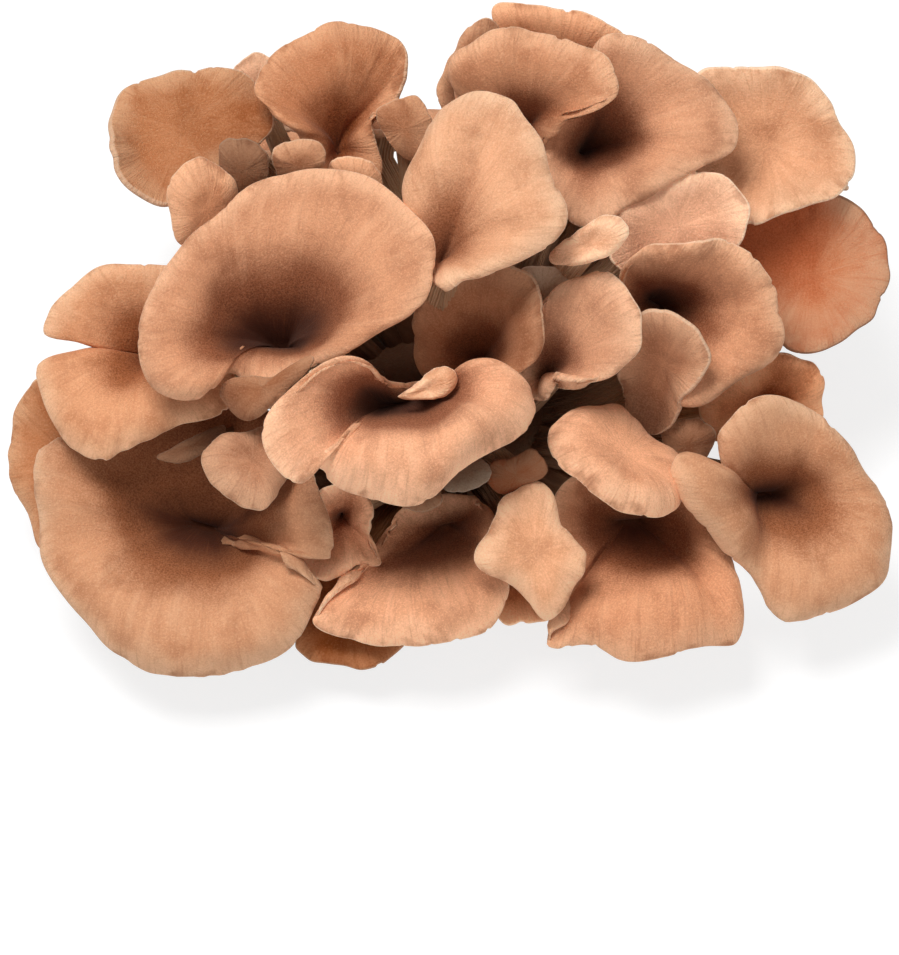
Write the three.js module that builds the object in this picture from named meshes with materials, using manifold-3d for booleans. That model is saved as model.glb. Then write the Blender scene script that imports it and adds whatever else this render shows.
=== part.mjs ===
// A maitake head: thin stalked fronds crowded together on one lumpy butt.
// Millimetres, +Z up. The origin is the middle of the cut flat that the butt rests on.
import * as THREE from "three";
import { mergeVertices } from "three/addons/utils/BufferGeometryUtils.js";
import Module from "manifold-3d";

const wasm = await Module();
wasm.setup();

// ---- Driving dimensions -------------------------------------------------------------------

const GAP = 0.35; // clearance between two fronds that press on each other
// Points that a cut leaves closer than this become one: the first reach that keeps a mesh whole.
const WELD_REACHES = [0.05, 0.03, 0.1, 0.02, 0.01, 0.15, 0.2];

// The fronds are laid out on two sloping faces of the head. A point is [across, up, out]:
// across to the right of someone facing that side, up along the slope, out square to it. The
// setback is how far behind the middle of the butt, seen from its own side, a face's zero lies.
const FACES = {
  front: { slope: 55, turn: 0, setback: -7 },
  back: { slope: 35, turn: 180, setback: -1 },
};
const FACE_HEIGHT = 50; // how high the zero point of both faces stands over the cut flat

// Flesh thickness at the throat and at the rim, stalk radius at the foot, and the rings that
// the upper skin, the under skin and the stalk are made of, for each size of frond.
// A ring's number is its place between the throat, 0, and the rim, 1.
const GRADES = {
  large: { throat: 3.6, rim: 1.5, stalk: 5.6, upper: [0.18, 0.5, 0.8, 1], under: [1, 0.72, 0.22] },
  medium: { throat: 3, rim: 1.3, stalk: 4.4, upper: [0.2, 0.6, 0.86, 1], under: [1, 0.7, 0.24] },
  small: { throat: 2.4, rim: 1.2, stalk: 3, upper: [0.25, 0.7, 1], under: [1, 0.6, 0.26] },
};
const LONG_SPAN = 15; // two rim points further apart than this get one more between them
const LEAN = 0.3; // how far a frond's axis leans from the way it opens to the way its stalk points
const FULL_SPAN = 12; // a rib shorter than this has thinner flesh, in proportion
const THROAT_RISE = 0.35; // share of a rib that climbs straight out of the throat
const RIM_RUN = 0.3; // share of a rib that runs level into the rim, but no more than
const WALL_RUN = 0.45; // this share of its reach from the throat, seen square to the rim
const ROLL_GAIN = 2.25; // lift of the rib's control point that raises its crest by one
const CAP_COLLAR = 0.45; // place on a cap's under skin where its stalk begins

// The stalks run out of the butt as if they all began at one point low in its middle.
const HEART = new THREE.Vector3(0, 0, 7);
const FOOT_REACH = 24; // how far from that point a stalk's foot stands
const STALK_STEPS = [0.5, 1];
const SPOKE_TURN = 0.05; // least turn from one rib to the next about the stalk, in radians

// The butt: a lumpy block, cut flat below and domed above. Each row is [height, radius].
const BUTT_PROFILE = [[0, 23], [5, 28], [13, 32], [22, 30], [30, 22], [35, 10]];
const BUTT_DEPTH = 0.88; // its size along Y against its size along X
const BUTT_COLUMNS = 20;
const BUTT_LUMP = 0.07;

// ---- The fronds ---------------------------------------------------------------------------
// Each has the point or line that its throat narrows to, and a closed loop of rim points
// [across, up, out, roll], where roll is how far its skin rises before it turns down to the rim.
// A cap has no open throat: its middle stands higher than its rim by its cap value, or lower.
// A frond gives way to those above it in the list.
const FRONDS = [
  { name: "frond_crown_shell", face: "front", grade: "large", tone: "tan",
    throat: [[-2, 17, 24]], rim: [[-9, 41, 27, 7], [-5, 50, 29, 7], [0, 55, 30, 7], [7, 57, 31, 6],
    [14, 55.7, 32, 4], [17, 51, 34, 3], [22, 44, 37, 4], [26, 34, 39, 5], [26.5, 27, 39, 5],
    [21, 20, 40, 5], [12, 15.3, 41, 4], [4, 13, 40, 3], [-3, 11.5, 37, 2], [-6, 18, 30, 3],
    [-10, 30, 26, 6]] },
  { name: "frond_left_funnel", face: "front", grade: "large", tone: "brown",
    throat: [[-43, -1, 2], [-31, -2, 2]], rim: [[-70, -3, 30, 4], [-69, 8, 29, 4], [-62, 21, 27, 3],
    [-51, 31, 26, 3], [-41, 38, 26, 3], [-29, 40, 27, 3], [-18, 38, 30, 3], [-9, 31, 34, 3],
    [-3, 23, 38, 3], [-3, 12, 40, 4], [-9, 4, 40, 4], [-19, -1, 36, 2], [-27, -3.5, 31, 1],
    [-35, -7, 25, 0], [-42, -8.5, 23, 0], [-47.5, -7, 26, 1], [-52, -12, 30, 4], [-58, -14, 31, 6],
    [-66, -11, 31, 6]] },
  { name: "frond_teardrop_cap", face: "front", grade: "small", tone: "tan",
    cap: 2.5, throat: [[-4.5, -8.5, 20]], rim: [[-12.5, -12, 29, 2], [-9, -9, 32, 3], [-5, -5.5, 33, 3],
    [-1, -4, 33, 3], [2, -5.5, 33, 3], [2.3, -9, 32, 3], [-1, -12, 31, 3], [-6.5, -12.8, 30, 3]] },
  { name: "frond_collar_bud_left", face: "front", grade: "small", tone: "brown",
    cap: 2, throat: [[-34, 38, 6]], rim: [[-40, 42, 20, 1], [-38, 45, 20, 1], [-33, 46.3, 20, 1],
    [-29, 45.6, 20, 1], [-27, 43, 20, 1], [-28, 39, 18, 1], [-32, 35, 14, 0], [-38, 36, 14, 0]] },
  { name: "frond_front_kidney_cap", face: "front", grade: "large", tone: "brown",
    throat: [[-19, -14, 10], [-4, -12, 12]], rim: [[-19, -4, 39, 1], [-26, -3, 43, 3], [-34, -7, 44, 4],
    [-40, -13, 44, 5], [-42, -20, 44, 5], [-40, -27, 44, 5], [-33, -31.5, 44, 4], [-27, -27, 43, 3],
    [-28, -31, 39, 8], [-23, -35, 38, 11], [-14, -37.3, 39, 12], [-5, -36, 40, 12], [3, -31, 40, 12],
    [10, -25.5, 38, 12], [17, -20.5, 35, 10], [19.8, -13, 33, 8], [18, -7, 32, 8], [12, -4, 31, 8],
    [6, -5.5, 27, 7], [2, -9, 20, 4], [-6, -8, 17, 0], [-14, -8, 26, 0]] },
  { name: "frond_front_right_scroll", face: "front", grade: "large", tone: "brown",
    cap: 4, throat: [[40, -24, -6]], rim: [[21, -21, 21, 8], [23, -28, 24, 10], [29, -33, 26, 11],
    [36, -38, 26, 11], [43.5, -40, 24, 11], [51, -38, 20, 9], [54, -31, 14, 6], [52, -24.5, 9, 3],
    [47, -21, 8, 1], [42, -17, 9, 1], [38, -13, 11, 2], [31, -12, 14, 4], [24, -15.5, 18, 7]] },
  { name: "frond_right_front_funnel", face: "front", grade: "large", tone: "tan",
    throat: [[64, -33.5, -10], [75, -32.5, -10]], rim: [[67, -11.5, 15, 3], [74, -10.3, 12, 3],
    [81, -13, 9, 3], [87, -19, 7, 3], [93, -25, 5, 3], [98, -30, 3, 4], [100, -38, 2, 4],
    [99, -47, 2, 5], [96.5, -54, 4, 5], [89, -60, 6, 5], [80, -63, 8, 5], [72, -62.3, 9, 5],
    [68, -57, 9, 5], [64, -49.5, 12, 6], [57, -43, 17, 8], [51, -37, 20, 9], [48, -29, 22, 9],
    [50.5, -23, 21, 8], [56.5, -24, 18, 4], [62, -32, 7, 1], [60.5, -28, 13, 0], [59, -22, 16, 2],
    [62, -16, 16, 3]] },
  { name: "frond_front_left_bowl", face: "front", grade: "large", tone: "tan",
    throat: [[-62, -38, -14], [-46, -42, -14]], rim: [[-90, -22, 3, 2], [-93.3, -30, 4, 3],
    [-93.5, -39, 4, 3], [-92.5, -49, 5, 3], [-87, -58, 7, 5], [-80, -66, 9, 6], [-70, -72, 11, 7],
    [-58, -75.8, 13, 8], [-46, -75, 14, 8], [-36, -69, 14, 7], [-29.5, -60, 15, 6], [-27, -53.5, 16, 4],
    [-36, -47.8, 17, 4], [-26, -48.7, 18, 3], [-25.5, -42, 18, 4], [-28, -33, 18, 4], [-33, -24, 12, 0],
    [-42, -14, 5, 0], [-58, -12, 1, 0], [-76, -15, 1, 0]] },
  { name: "frond_back_saddle", face: "front", grade: "large", tone: "brown",
    throat: [[18, 48, -2]], rim: [[-2, 57, 8, 4], [-1.5, 63, 11, 5], [3, 68.5, 13, 6], [10, 71, 14, 6],
    [18, 71.5, 14, 6], [27, 70, 15, 6], [34, 65.5, 16, 5], [38, 60, 17, 4], [38, 55, 18, 3],
    [33, 52, 17, 2], [27, 49.5, 13, 1], [21, 44, 8, 0], [12, 44, 4, 0], [3, 51, 4, 2]] },
  { name: "frond_centre_right_fan", face: "front", grade: "large", tone: "brown",
    throat: [[21, -8, 6]], rim: [[20, 10, 20, 1], [25, 14.3, 23, 1], [31, 17, 26, 2], [36, 16.7, 28, 3],
    [40, 12.5, 29, 3], [43, 7, 30, 3], [43, 0, 31, 3], [39.5, -5.5, 31, 3], [34, -9, 30, 3],
    [28, -9, 28, 2], [24, -9.5, 24, 1], [20, -13, 16, 0], [17, -8, 13, 0], [18, 1, 16, 0]] },
  { name: "frond_top_tall_fan", face: "front", grade: "large", tone: "brown",
    throat: [[-25, 42, -4]], rim: [[-44.5, 59, 12, 3], [-43, 54, 14, 4], [-39, 49.5, 14, 4],
    [-35, 46, 12, 2], [-31, 38, 8, 0], [-24, 32, 4, 0], [-17, 33, 3, 0], [-15, 41, 3, 0],
    [-17, 50, 4, 0], [-13, 56, 6, -3], [-10.5, 62, 6, -3], [-10, 68, 5, 0], [-15, 72, 5, 3],
    [-23, 73.3, 6, 4], [-31, 71, 8, 4], [-39, 67, 10, 3]] },
  { name: "frond_top_left_fan", face: "front", grade: "large", tone: "tan",
    cap: -3, throat: [[-50, 42, -8]], rim: [[-75, 48, 16, -4], [-75, 54, 10, 0], [-71, 59, 8, 2],
    [-63, 61, 7, 2], [-53, 62.5, 5, 2], [-45, 61, 4, 2], [-40, 56, 4, 2], [-39, 49, 6, 2],
    [-43, 44, 7, 1], [-50, 39, 8, 0], [-58, 34, 12, -2], [-65, 33, 16, -5], [-71, 36.5, 18, -6],
    [-74, 42, 18, -6]] },
  { name: "frond_front_folded_flap", face: "front", grade: "medium", tone: "tan",
    cap: 3, throat: [[18, -42, 8]], rim: [[12, -33.5, 22, 1], [19, -29.5, 21, 1], [23, -32, 20, 1],
    [25.5, -39, 20, 2], [31.5, -46, 20, 2], [29.5, -53, 20, 3], [25, -60.5, 18, 3], [20.5, -62, 17, 3],
    [14.5, -56, 19, 3], [7, -51.5, 22, 3], [5.5, -46, 24, 3], [9.5, -37.5, 24, 2]] },
  { name: "frond_left_split_fan", face: "front", grade: "large", tone: "tan",
    throat: [[-62, -3, -8]], rim: [[-92, 2, 4, 2], [-89, 9, 4, 3], [-83, 16, 5, 3], [-74, 19.7, 6, 3],
    [-65, 19, 7, 2], [-57, 14, 8, 0], [-52, 5, 10, 0], [-48, -6, 14, 0], [-49, -14.5, 18, 2],
    [-60, -20, 18, 5], [-70, -23.5, 16, 6], [-79, -26.3, 14, 6], [-87, -23.5, 12, 6],
    [-91.5, -15, 10, 5], [-93.3, -5, 7, 3], [-86, -2.2, 3, 1], [-77, -2, 0, 0], [-86, 0.2, 3, 1]] },
  { name: "frond_front_centre_scoop", face: "front", grade: "large", tone: "brown",
    throat: [[-8, -42, -9], [6, -38, -9]], rim: [[-31, -61, 15, 1], [-26, -66.2, 14, 4],
    [-17, -68.3, 14, 6], [-7, -68.2, 14, 7], [2, -67.2, 14, 7], [10, -64, 14, 6], [14.5, -57, 15, 5],
    [13, -48, 16, 4], [12, -40, 12, 2], [7, -35, 1, 0], [-3, -33.5, -4, 0], [-11, -37, -4, 0],
    [-17, -44, 2, 0], [-22, -52, 10, 0]] },
  { name: "frond_front_right_skirt", face: "front", grade: "large", tone: "brown",
    throat: [[32, -39, -10], [48, -38, -10]], rim: [[24.5, -59, 12, 2], [21, -68, 13, 2],
    [30, -68.5, 14, 5], [38, -71, 15, 6], [48, -71, 15, 6], [57, -68.5, 14, 6], [65, -68, 12, 5],
    [67.5, -61, 10, 5], [65.5, -52, 8, 4], [61, -42, 6, 2], [53, -32, 3, 0], [41, -27, 2, 0],
    [30, -28, 4, 0], [23, -35, 7, 0], [23, -47, 10, 0]] },
  { name: "frond_left_drop_cap", face: "front", grade: "medium", tone: "brown",
    cap: 3, throat: [[-40, -20, 8]], rim: [[-55.5, -24, 22, 3], [-51, -19.5, 22, 3],
    [-45, -18.7, 20, 2], [-39, -17, 15, 0], [-36, -21, 14, 0], [-35.5, -30, 21, 2], [-38, -35, 25, 4],
    [-42, -38, 26, 5], [-48, -36.5, 26, 5], [-53, -33, 25, 5], [-56, -28, 24, 4]] },
  { name: "frond_right_dark_funnel", face: "front", grade: "large", tone: "brown",
    throat: [[42, 12, -12], [48, 8, -13]], rim: [[38, 17, 12, 0], [42, 21, 17, 0], [50, 22.2, 18, 0],
    [57, 23.3, 18, 1], [63, 23.3, 16, 2], [69, 19.5, 14, 3], [73.5, 13, 12, 3], [75.5, 6, 10, 4],
    [75, -1, 9, 5], [70, -6.5, 9, 5], [62, -11.5, 10, 5], [54, -15, 10, 4], [47, -15, 6, 2],
    [41, -9, 2, 0], [37, 4, 3, 0]] },
  { name: "frond_back_right_funnel", face: "front", grade: "large", tone: "brown",
    throat: [[28, 42, -14]], rim: [[35, 69.5, 9, 2], [41, 70, 8, 3], [49, 67, 6, 4], [57, 61.5, 5, 4],
    [62.5, 56, 5, 4], [65.5, 49.5, 6, 4], [64, 43.5, 7, 3], [58, 39.5, 8, 3], [49, 34.5, 10, 3],
    [40, 29.5, 12, 2], [31, 26, 12, 1], [24, 30, 9, 0], [21, 40, 6, 0], [23, 52, 5, 0], [29, 63, 7, 1]]
    },
  { name: "frond_right_rust_funnel", face: "front", grade: "large", tone: "rust",
    cap: -6, throat: [[77, 17, -26]], rim: [[72, 30, -9, 0], [81, 33, -9, 1], [88, 33.3, -10, 1],
    [94, 29, -12, 2], [98.5, 23.5, -13, 3], [99.3, 17, -12, 4], [98, 11, -11, 5], [95, 5.5, -9, 5],
    [90, 2, -7, 6], [84, -1.5, -5, 6], [78, -1, -4, 4], [73, 3, -5, 1], [68, 10, -8, 0],
    [65, 20, -10, 0], [66, 27, -10, 0]] },
  { name: "frond_right_wide_funnel", face: "front", grade: "large", tone: "tan",
    cap: -5, throat: [[64, 44, -20]], rim: [[57, 61.5, -4, 1], [65, 62, -5, 2], [74, 62.5, -6, 3],
    [82, 59, -7, 3], [88, 52, -9, 3], [91.5, 44, -9, 3], [91, 37.5, -7, 3], [87, 33.3, -5, 4],
    [80, 31, -3, 5], [73, 28.6, -1, 5], [66, 27.5, -1, 3], [60, 33, -3, 1], [55, 42, -5, 0],
    [53, 53, -5, 0]] },
  { name: "frond_right_flat_fan", face: "front", grade: "medium", tone: "brown",
    cap: -2, throat: [[43, 21, -4]], rim: [[37.5, 30, 10, 1], [45, 35.5, 9, 1], [53, 38.5, 8, 1],
    [58, 39, 7, 1], [63, 37, 7, 1], [66.5, 33, 7, 1], [67, 28, 7, 2], [65, 22, 7, 1], [58, 17, 6, 0],
    [48, 14, 6, 0], [40, 15, 7, 0], [36, 20, 9, 0]] },
  { name: "frond_centre_dark_funnel", face: "front", grade: "large", tone: "brown",
    throat: [[7, -6, -2]], rim: [[14, 17, 26, 0], [18.5, 14.5, 28, 0], [20.5, 9, 29, 1],
    [21.2, 3, 29, 1], [20.5, -3, 28, 2], [18, -6.5, 26, 2], [11, -11, 20, 0], [2, -12, 14, 0],
    [-6, -8, 12, 0], [-9, 0, 15, 0], [-8, 8, 19, 0], [-3, 14, 22, 0], [6, 18, 24, 0]] },
  { name: "frond_tongue_cap", face: "front", grade: "small", tone: "tan",
    cap: 2, throat: [[31, 22.5, 20]], rim: [[22, 20.5, 27, 1], [27, 25, 33, 3], [33, 28.8, 35, 3],
    [38, 29, 35, 3], [41, 26, 34, 3], [39.5, 22, 34, 3], [34.5, 18.5, 33, 3], [28, 16.8, 30, 3],
    [22.5, 17.5, 26, 1]] },
  { name: "frond_top_left_small_funnel", face: "front", grade: "medium", tone: "brown",
    cap: 3, throat: [[-49, 30, 0]], rim: [[-64, 33, 22, 3], [-63, 27, 20, 3], [-60, 21, 16, 2],
    [-53, 19, 13, 0], [-46, 24, 13, 0], [-45.5, 31, 15, 1], [-47.5, 37, 19, 2], [-52, 41.5, 21, 2],
    [-57, 42.3, 22, 3], [-62, 38, 23, 3]] },
  { name: "frond_collar_bud_far", face: "front", grade: "small", tone: "brown",
    cap: 2, throat: [[-44, 32, 2]], rim: [[-52, 43.5, 17, 1], [-50, 46, 17, 1], [-45.5, 46.5, 17, 1],
    [-41.5, 44.5, 17, 1], [-40, 41, 16, 0], [-41, 35, 13, 0], [-46, 31, 11, 0], [-51, 36, 13, 0]] },
  { name: "frond_left_curl_cap", face: "front", grade: "small", tone: "brown",
    cap: 2, throat: [[-43, -11, 12]], rim: [[-51.5, -12, 26, 2], [-50, -8, 28, 1], [-45, -6.5, 29, 0],
    [-39, -6.5, 30, 0], [-31, -2, 34, 0], [-30, -5, 35, 1], [-37, -12, 33, 1], [-41.5, -16.5, 29, 2],
    [-47, -17.5, 26, 2]] },
  { name: "frond_inner_right_fan", face: "front", grade: "medium", tone: "brown",
    cap: -3, throat: [[45, -12, 0]], rim: [[42, 5.5, 21, 1], [47, 7.5, 23, 2], [52, 5.3, 23, 2],
    [56, 1, 22, 2], [58, -4, 20, 2], [55, -8, 18, 1], [51, -12, 13, 0], [49, -18, 7, 0],
    [45, -21, 2, 0], [40, -17, 2, 0], [38, -8, 8, 0], [39, 0, 16, 0]] },
  { name: "frond_right_under_fan", face: "front", grade: "medium", tone: "brown",
    throat: [[68, -13, -22]], rim: [[74, -2.5, -9, 0], [81, -3, -10, 1], [84.5, -6, -11, 2],
    [85, -11, -12, 2], [84.5, -17, -13, 1], [79, -23, -14, 0], [69, -25, -14, 0], [60, -22, -11, 0],
    [56, -15, -8, 0], [62, -8, -7, 0]] },
  { name: "frond_far_left_fan", face: "front", grade: "medium", tone: "tan",
    throat: [[-77, -27, -18]], rim: [[-90, -7, -8, 0], [-95.5, -9.7, -10, 1], [-99, -15, -12, 2],
    [-100.5, -22, -13, 3], [-99.3, -30, -13, 3], [-96.3, -38, -12, 3], [-92, -47, -10, 2],
    [-84, -44, -10, 0], [-76, -36, -10, 0], [-72, -24, -10, 0], [-76, -12, -9, 0]] },
  { name: "frond_back_ridge_fan", face: "front", grade: "medium", tone: "brown",
    throat: [[24, 57, -14]], rim: [[8.5, 73, 0, 1], [10.5, 76.5, 1, 2], [16, 77, 2, 2], [24, 76, 2, 2],
    [32, 74, 2, 2], [39, 70.5, 1, 2], [42, 64, -1, 1], [38, 57, -4, 0], [28, 53, -7, 0],
    [16, 56, -7, 0], [10, 64, -4, 0]] },
  { name: "frond_back_low_middle", face: "back", grade: "large", tone: "brown",
    throat: [[-3, -40, 26]], rim: [[-23, -39, 37, 2], [-26, -52, 40, 3], [-22, -63, 42, 5],
    [-11, -70, 44, 6], [2, -69, 44, 5], [13, -71, 44, 5], [22, -63, 43, 5], [25, -51, 41, 3],
    [21, -39, 40, 2], [11, -31, 40, 0], [-1, -29, 40, 0], [-13, -30, 38, 0]] },
  { name: "frond_back_low_left", face: "back", grade: "large", tone: "brown",
    throat: [[31, -35, 24]], rim: [[23, -44, 38, 1], [26, -57, 41, 3], [35, -66, 41, 5],
    [47, -66, 38, 6], [57, -58, 34, 5], [61, -45, 32, 3], [56, -32, 34, 2], [45, -24, 37, 1],
    [32, -24, 38, 0], [24, -33, 38, 0]] },
  { name: "frond_back_low_right", face: "back", grade: "large", tone: "brown",
    throat: [[-34, -46, 23]], rim: [[-23, -46, 37, 1], [-26, -58, 39, 3], [-36, -66, 39, 5],
    [-48, -67, 37, 6], [-58, -60, 34, 5], [-61, -48, 33, 4], [-56, -36, 35, 2], [-46, -28, 38, 1],
    [-34, -27, 39, 0], [-25, -35, 38, 0]] },
  { name: "frond_back_mid_left", face: "back", grade: "large", tone: "brown",
    throat: [[15, -16, 33]], rim: [[9, -22, 46, 1], [13, -32, 48, 3], [24, -36, 47, 4],
    [35, -32, 45, 4], [39, -21, 43, 3], [37, -9, 43, 2], [28, 0, 43, 1], [17, -1, 43, 0],
    [9, -10, 45, 0]] },
  { name: "frond_back_mid_right", face: "back", grade: "large", tone: "brown",
    throat: [[-31, -27, 31]], rim: [[-20, -29, 46, 1], [-26, -39, 48, 3], [-38, -43, 49, 4],
    [-50, -37, 48, 4], [-55, -27, 47, 3], [-51, -15, 47, 2], [-40, -9, 47, 1], [-28, -10, 47, 0],
    [-20, -18, 46, 0]] },
  { name: "frond_back_side_left", face: "back", grade: "medium", tone: "brown",
    throat: [[52, -30, 20]], rim: [[50, -41, 33, 1], [56, -51, 34, 3], [66, -53, 33, 4],
    [73, -46, 32, 4], [74, -36, 33, 3], [68, -27, 35, 2], [58, -24, 36, 1], [50, -30, 35, 0]] },
  { name: "frond_back_side_right", face: "back", grade: "medium", tone: "brown",
    throat: [[-59, -40, 20]], rim: [[-61, -46, 31, 1], [-67, -56, 32, 3], [-78, -58, 31, 4],
    [-88, -51, 30, 4], [-91, -40, 30, 3], [-86, -29, 32, 2], [-76, -24, 33, 1], [-66, -26, 33, 0],
    [-60, -35, 32, 0]] },
  { name: "frond_top_gap_fan", face: "front", grade: "small", tone: "brown",
    cap: 1.5, throat: [[-9, 43, 2]], rim: [[-17, 52, 10, 1], [-14, 54.5, 10, 1], [-9, 56, 10, 1],
    [-6, 55, 10, 1], [-4, 51, 11, 1], [-4, 45, 10, 0], [-6, 40, 8, 0], [-10.5, 41, 7, 0],
    [-15, 46.5, 9, 0]] },
  { name: "frond_front_low_fan", face: "front", grade: "medium", tone: "brown",
    throat: [[-22, -54, -6]], rim: [[-34.5, -66, 6, 0], [-32, -70.3, 6, 1], [-26, -72.2, 6, 2],
    [-17, -72.8, 7, 2], [-11.5, -69, 6, 1], [-7, -62, 3, 0], [-12, -53, -1, 0], [-22, -49, -2, 0],
    [-31, -54, 0, 0]] },
  { name: "frond_front_gap_fan", face: "front", grade: "medium", tone: "brown",
    throat: [[-24, -37, -4]], rim: [[-29, -33, 12, 0], [-20, -31, 10, 0], [-17.5, -38, 8, 0],
    [-17.5, -43, 7, 0], [-14.5, -48.7, 8, 0], [-20, -50.3, 10, 1], [-27, -53.3, 11, 1],
    [-33, -50, 9, 0], [-35, -42, 8, 0]] },
  { name: "frond_back_lobe", face: "front", grade: "small", tone: "brown",
    throat: [[4, 52, -8]], rim: [[-3, 54, 0, 1], [-2.5, 60, 1, 1], [0.5, 66, 3, 1], [3, 71, 5, 2],
    [7, 73.7, 6, 2], [11, 72, 5, 1], [13, 64, 3, 0], [12, 54, 0, 0], [4, 48, -3, 0]] },
  { name: "frond_pale_sliver", face: "front", grade: "small", tone: "pale",
    cap: 2, throat: [[18, 5, 5]], rim: [[15, 16.5, 16, 0], [20, 17.8, 17, 0], [26, 16.5, 17, 0],
    [27, 13, 16, 0], [24, 8, 13, 0], [19, 6, 12, 0], [16, 11, 14, 0]] },
  { name: "frond_collar_bud_right", face: "front", grade: "small", tone: "brown",
    cap: 2, throat: [[-19, 32, 4]], rim: [[-27, 41, 17, 1], [-22, 42.3, 17, 1], [-17.5, 41.3, 16, 1],
    [-14.5, 37.5, 14, 1], [-15, 32, 11, 0], [-22, 31, 9, 0], [-27, 35, 12, 0]] },
  { name: "frond_top_left_bud", face: "front", grade: "small", tone: "brown",
    cap: 2, throat: [[-43, 57, -8]], rim: [[-49, 61, -3, 0], [-45.5, 65, -2, 0], [-42.5, 66, -2, 0],
    [-38, 63, -3, 0], [-38, 57, -5, 0], [-45, 53, -6, 0]] },
  { name: "frond_left_gap_bud", face: "front", grade: "small", tone: "brown",
    cap: 1.5, throat: [[-55, -20, 4]], rim: [[-66, -24.7, 12, 1], [-61, -22, 13, 1], [-55, -19, 14, 1],
    [-50, -17.7, 13, 0], [-50, -21, 12, 0], [-54, -24.5, 14, 1], [-60, -27, 14, 2], [-65, -26.3, 13, 1]]
    },
  { name: "frond_right_gap_bud", face: "front", grade: "small", tone: "brown",
    cap: 2, throat: [[54, -22, -10]], rim: [[47, -19.5, 2, 0], [51, -16.5, 3, 1], [56, -16, 4, 1],
    [59.5, -18.5, 3, 1], [60, -22, 1, 0], [56, -27, -2, 0], [49, -26, -3, 0]] },
  { name: "frond_front_under_fan", face: "front", grade: "small", tone: "brown",
    throat: [[15, -48, -8]], rim: [[11, -61.5, 4, 0], [17, -62.5, 5, 1], [23, -61.5, 5, 1],
    [26, -56, 4, 0], [22, -48, 0, 0], [14, -44, -2, 0], [9, -52, 0, 0]] },
  { name: "frond_front_curl_bud", face: "front", grade: "small", tone: "rust",
    cap: 2, throat: [[13, -27, 10]], rim: [[9, -26, 22, 0], [13, -25.3, 25, 1], [18, -22.6, 26, 2],
    [21.5, -25, 25, 2], [22.5, -29, 23, 1], [19, -31, 21, 0], [12, -34, 19, 0], [8, -31, 20, 0]] },
  { name: "frond_pale_inner_bud", face: "front", grade: "small", tone: "pale",
    cap: 2, throat: [[4, -29, 12]], rim: [[-1, -33.3, 25, 1], [4, -33.3, 26, 1], [8.5, -31.3, 26, 1],
    [10, -28, 26, 1], [7, -25, 24, 0], [2, -25.5, 23, 0], [-3, -29, 23, 0]] },
  { name: "frond_dark_inner_bud", face: "front", grade: "small", tone: "brown",
    cap: 2, throat: [[-6, -33, 10]], rim: [[-11.5, -36, 23, 0], [-7, -38, 24, 1], [-3, -37, 25, 1],
    [-1, -34, 25, 1], [-4, -30, 21, 0], [-10, -31, 21, 0]] },
];

// Colour, roughness and metalness of the skins.
const TONES = {
  tan: new THREE.MeshStandardMaterial({ color: 0xcf935f, roughness: 0.85, metalness: 0 }),
  brown: new THREE.MeshStandardMaterial({ color: 0xb57a4d, roughness: 0.88, metalness: 0 }),
  rust: new THREE.MeshStandardMaterial({ color: 0xc07038, roughness: 0.85, metalness: 0 }),
  pale: new THREE.MeshStandardMaterial({ color: 0xdcc4a4, roughness: 0.9, metalness: 0 }),
};
const BUTT_MATERIAL = new THREE.MeshStandardMaterial({ color: 0xe2d3b8, roughness: 0.92, metalness: 0 });

// ---- Geometry helpers ---------------------------------------------------------------------

// A point given on a face of the head, in the part's own frame.
function onFace(face, [across, up, out]) {
  const slope = THREE.MathUtils.degToRad(face.slope);
  const point = new THREE.Vector3(
    across,
    up * Math.sin(slope) - out * Math.cos(slope) + face.setback,
    up * Math.cos(slope) + out * Math.sin(slope) + FACE_HEIGHT,
  );
  return point.applyAxisAngle(new THREE.Vector3(0, 0, 1), THREE.MathUtils.degToRad(face.turn));
}

function meanPoint(points) {
  return points.reduce((sum, p) => sum.add(p), new THREE.Vector3()).divideScalar(points.length);
}

// The unit vector square to a closed loop of points: each edge sweeps a triangle with the middle.
function loopNormal(points) {
  const middle = meanPoint(points);
  const normal = new THREE.Vector3();
  points.forEach((p, i) => {
    const next = points[(i + 1) % points.length];
    normal.add(p.clone().sub(middle).cross(next.clone().sub(middle)));
  });
  return normal.normalize();
}

function cubicBezier(points, t) {
  const s = 1 - t;
  const weights = [s * s * s, 3 * s * s * t, 3 * s * t * t, t * t * t];
  return points.reduce((sum, p, i) => sum.addScaledVector(p, weights[i]), new THREE.Vector3());
}

// A closed solid from rings of equal length, with a pole at each end.
function solidFromRings(firstPole, rings, lastPole) {
  const columns = rings[0].length;
  const vertices = [firstPole, ...rings.flat(), lastPole];
  const last = vertices.length - 1;
  const at = (row, column) => 1 + row * columns + (column % columns);
  const triangles = [];
  for (let j = 0; j < columns; j += 1) {
    triangles.push(0, at(0, j), at(0, j + 1));
    for (let i = 0; i + 1 < rings.length; i += 1) {
      triangles.push(at(i, j), at(i + 1, j), at(i + 1, j + 1));
      triangles.push(at(i, j), at(i + 1, j + 1), at(i, j + 1));
    }
    triangles.push(at(rings.length - 1, j), last, at(rings.length - 1, j + 1));
  }
  return new wasm.Manifold(new wasm.Mesh({
    numProp: 3,
    vertProperties: new Float32Array(vertices.flatMap((v) => v.toArray())),
    triVerts: new Uint32Array(triangles),
  }));
}

// ---- A frond ------------------------------------------------------------------------------

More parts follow.
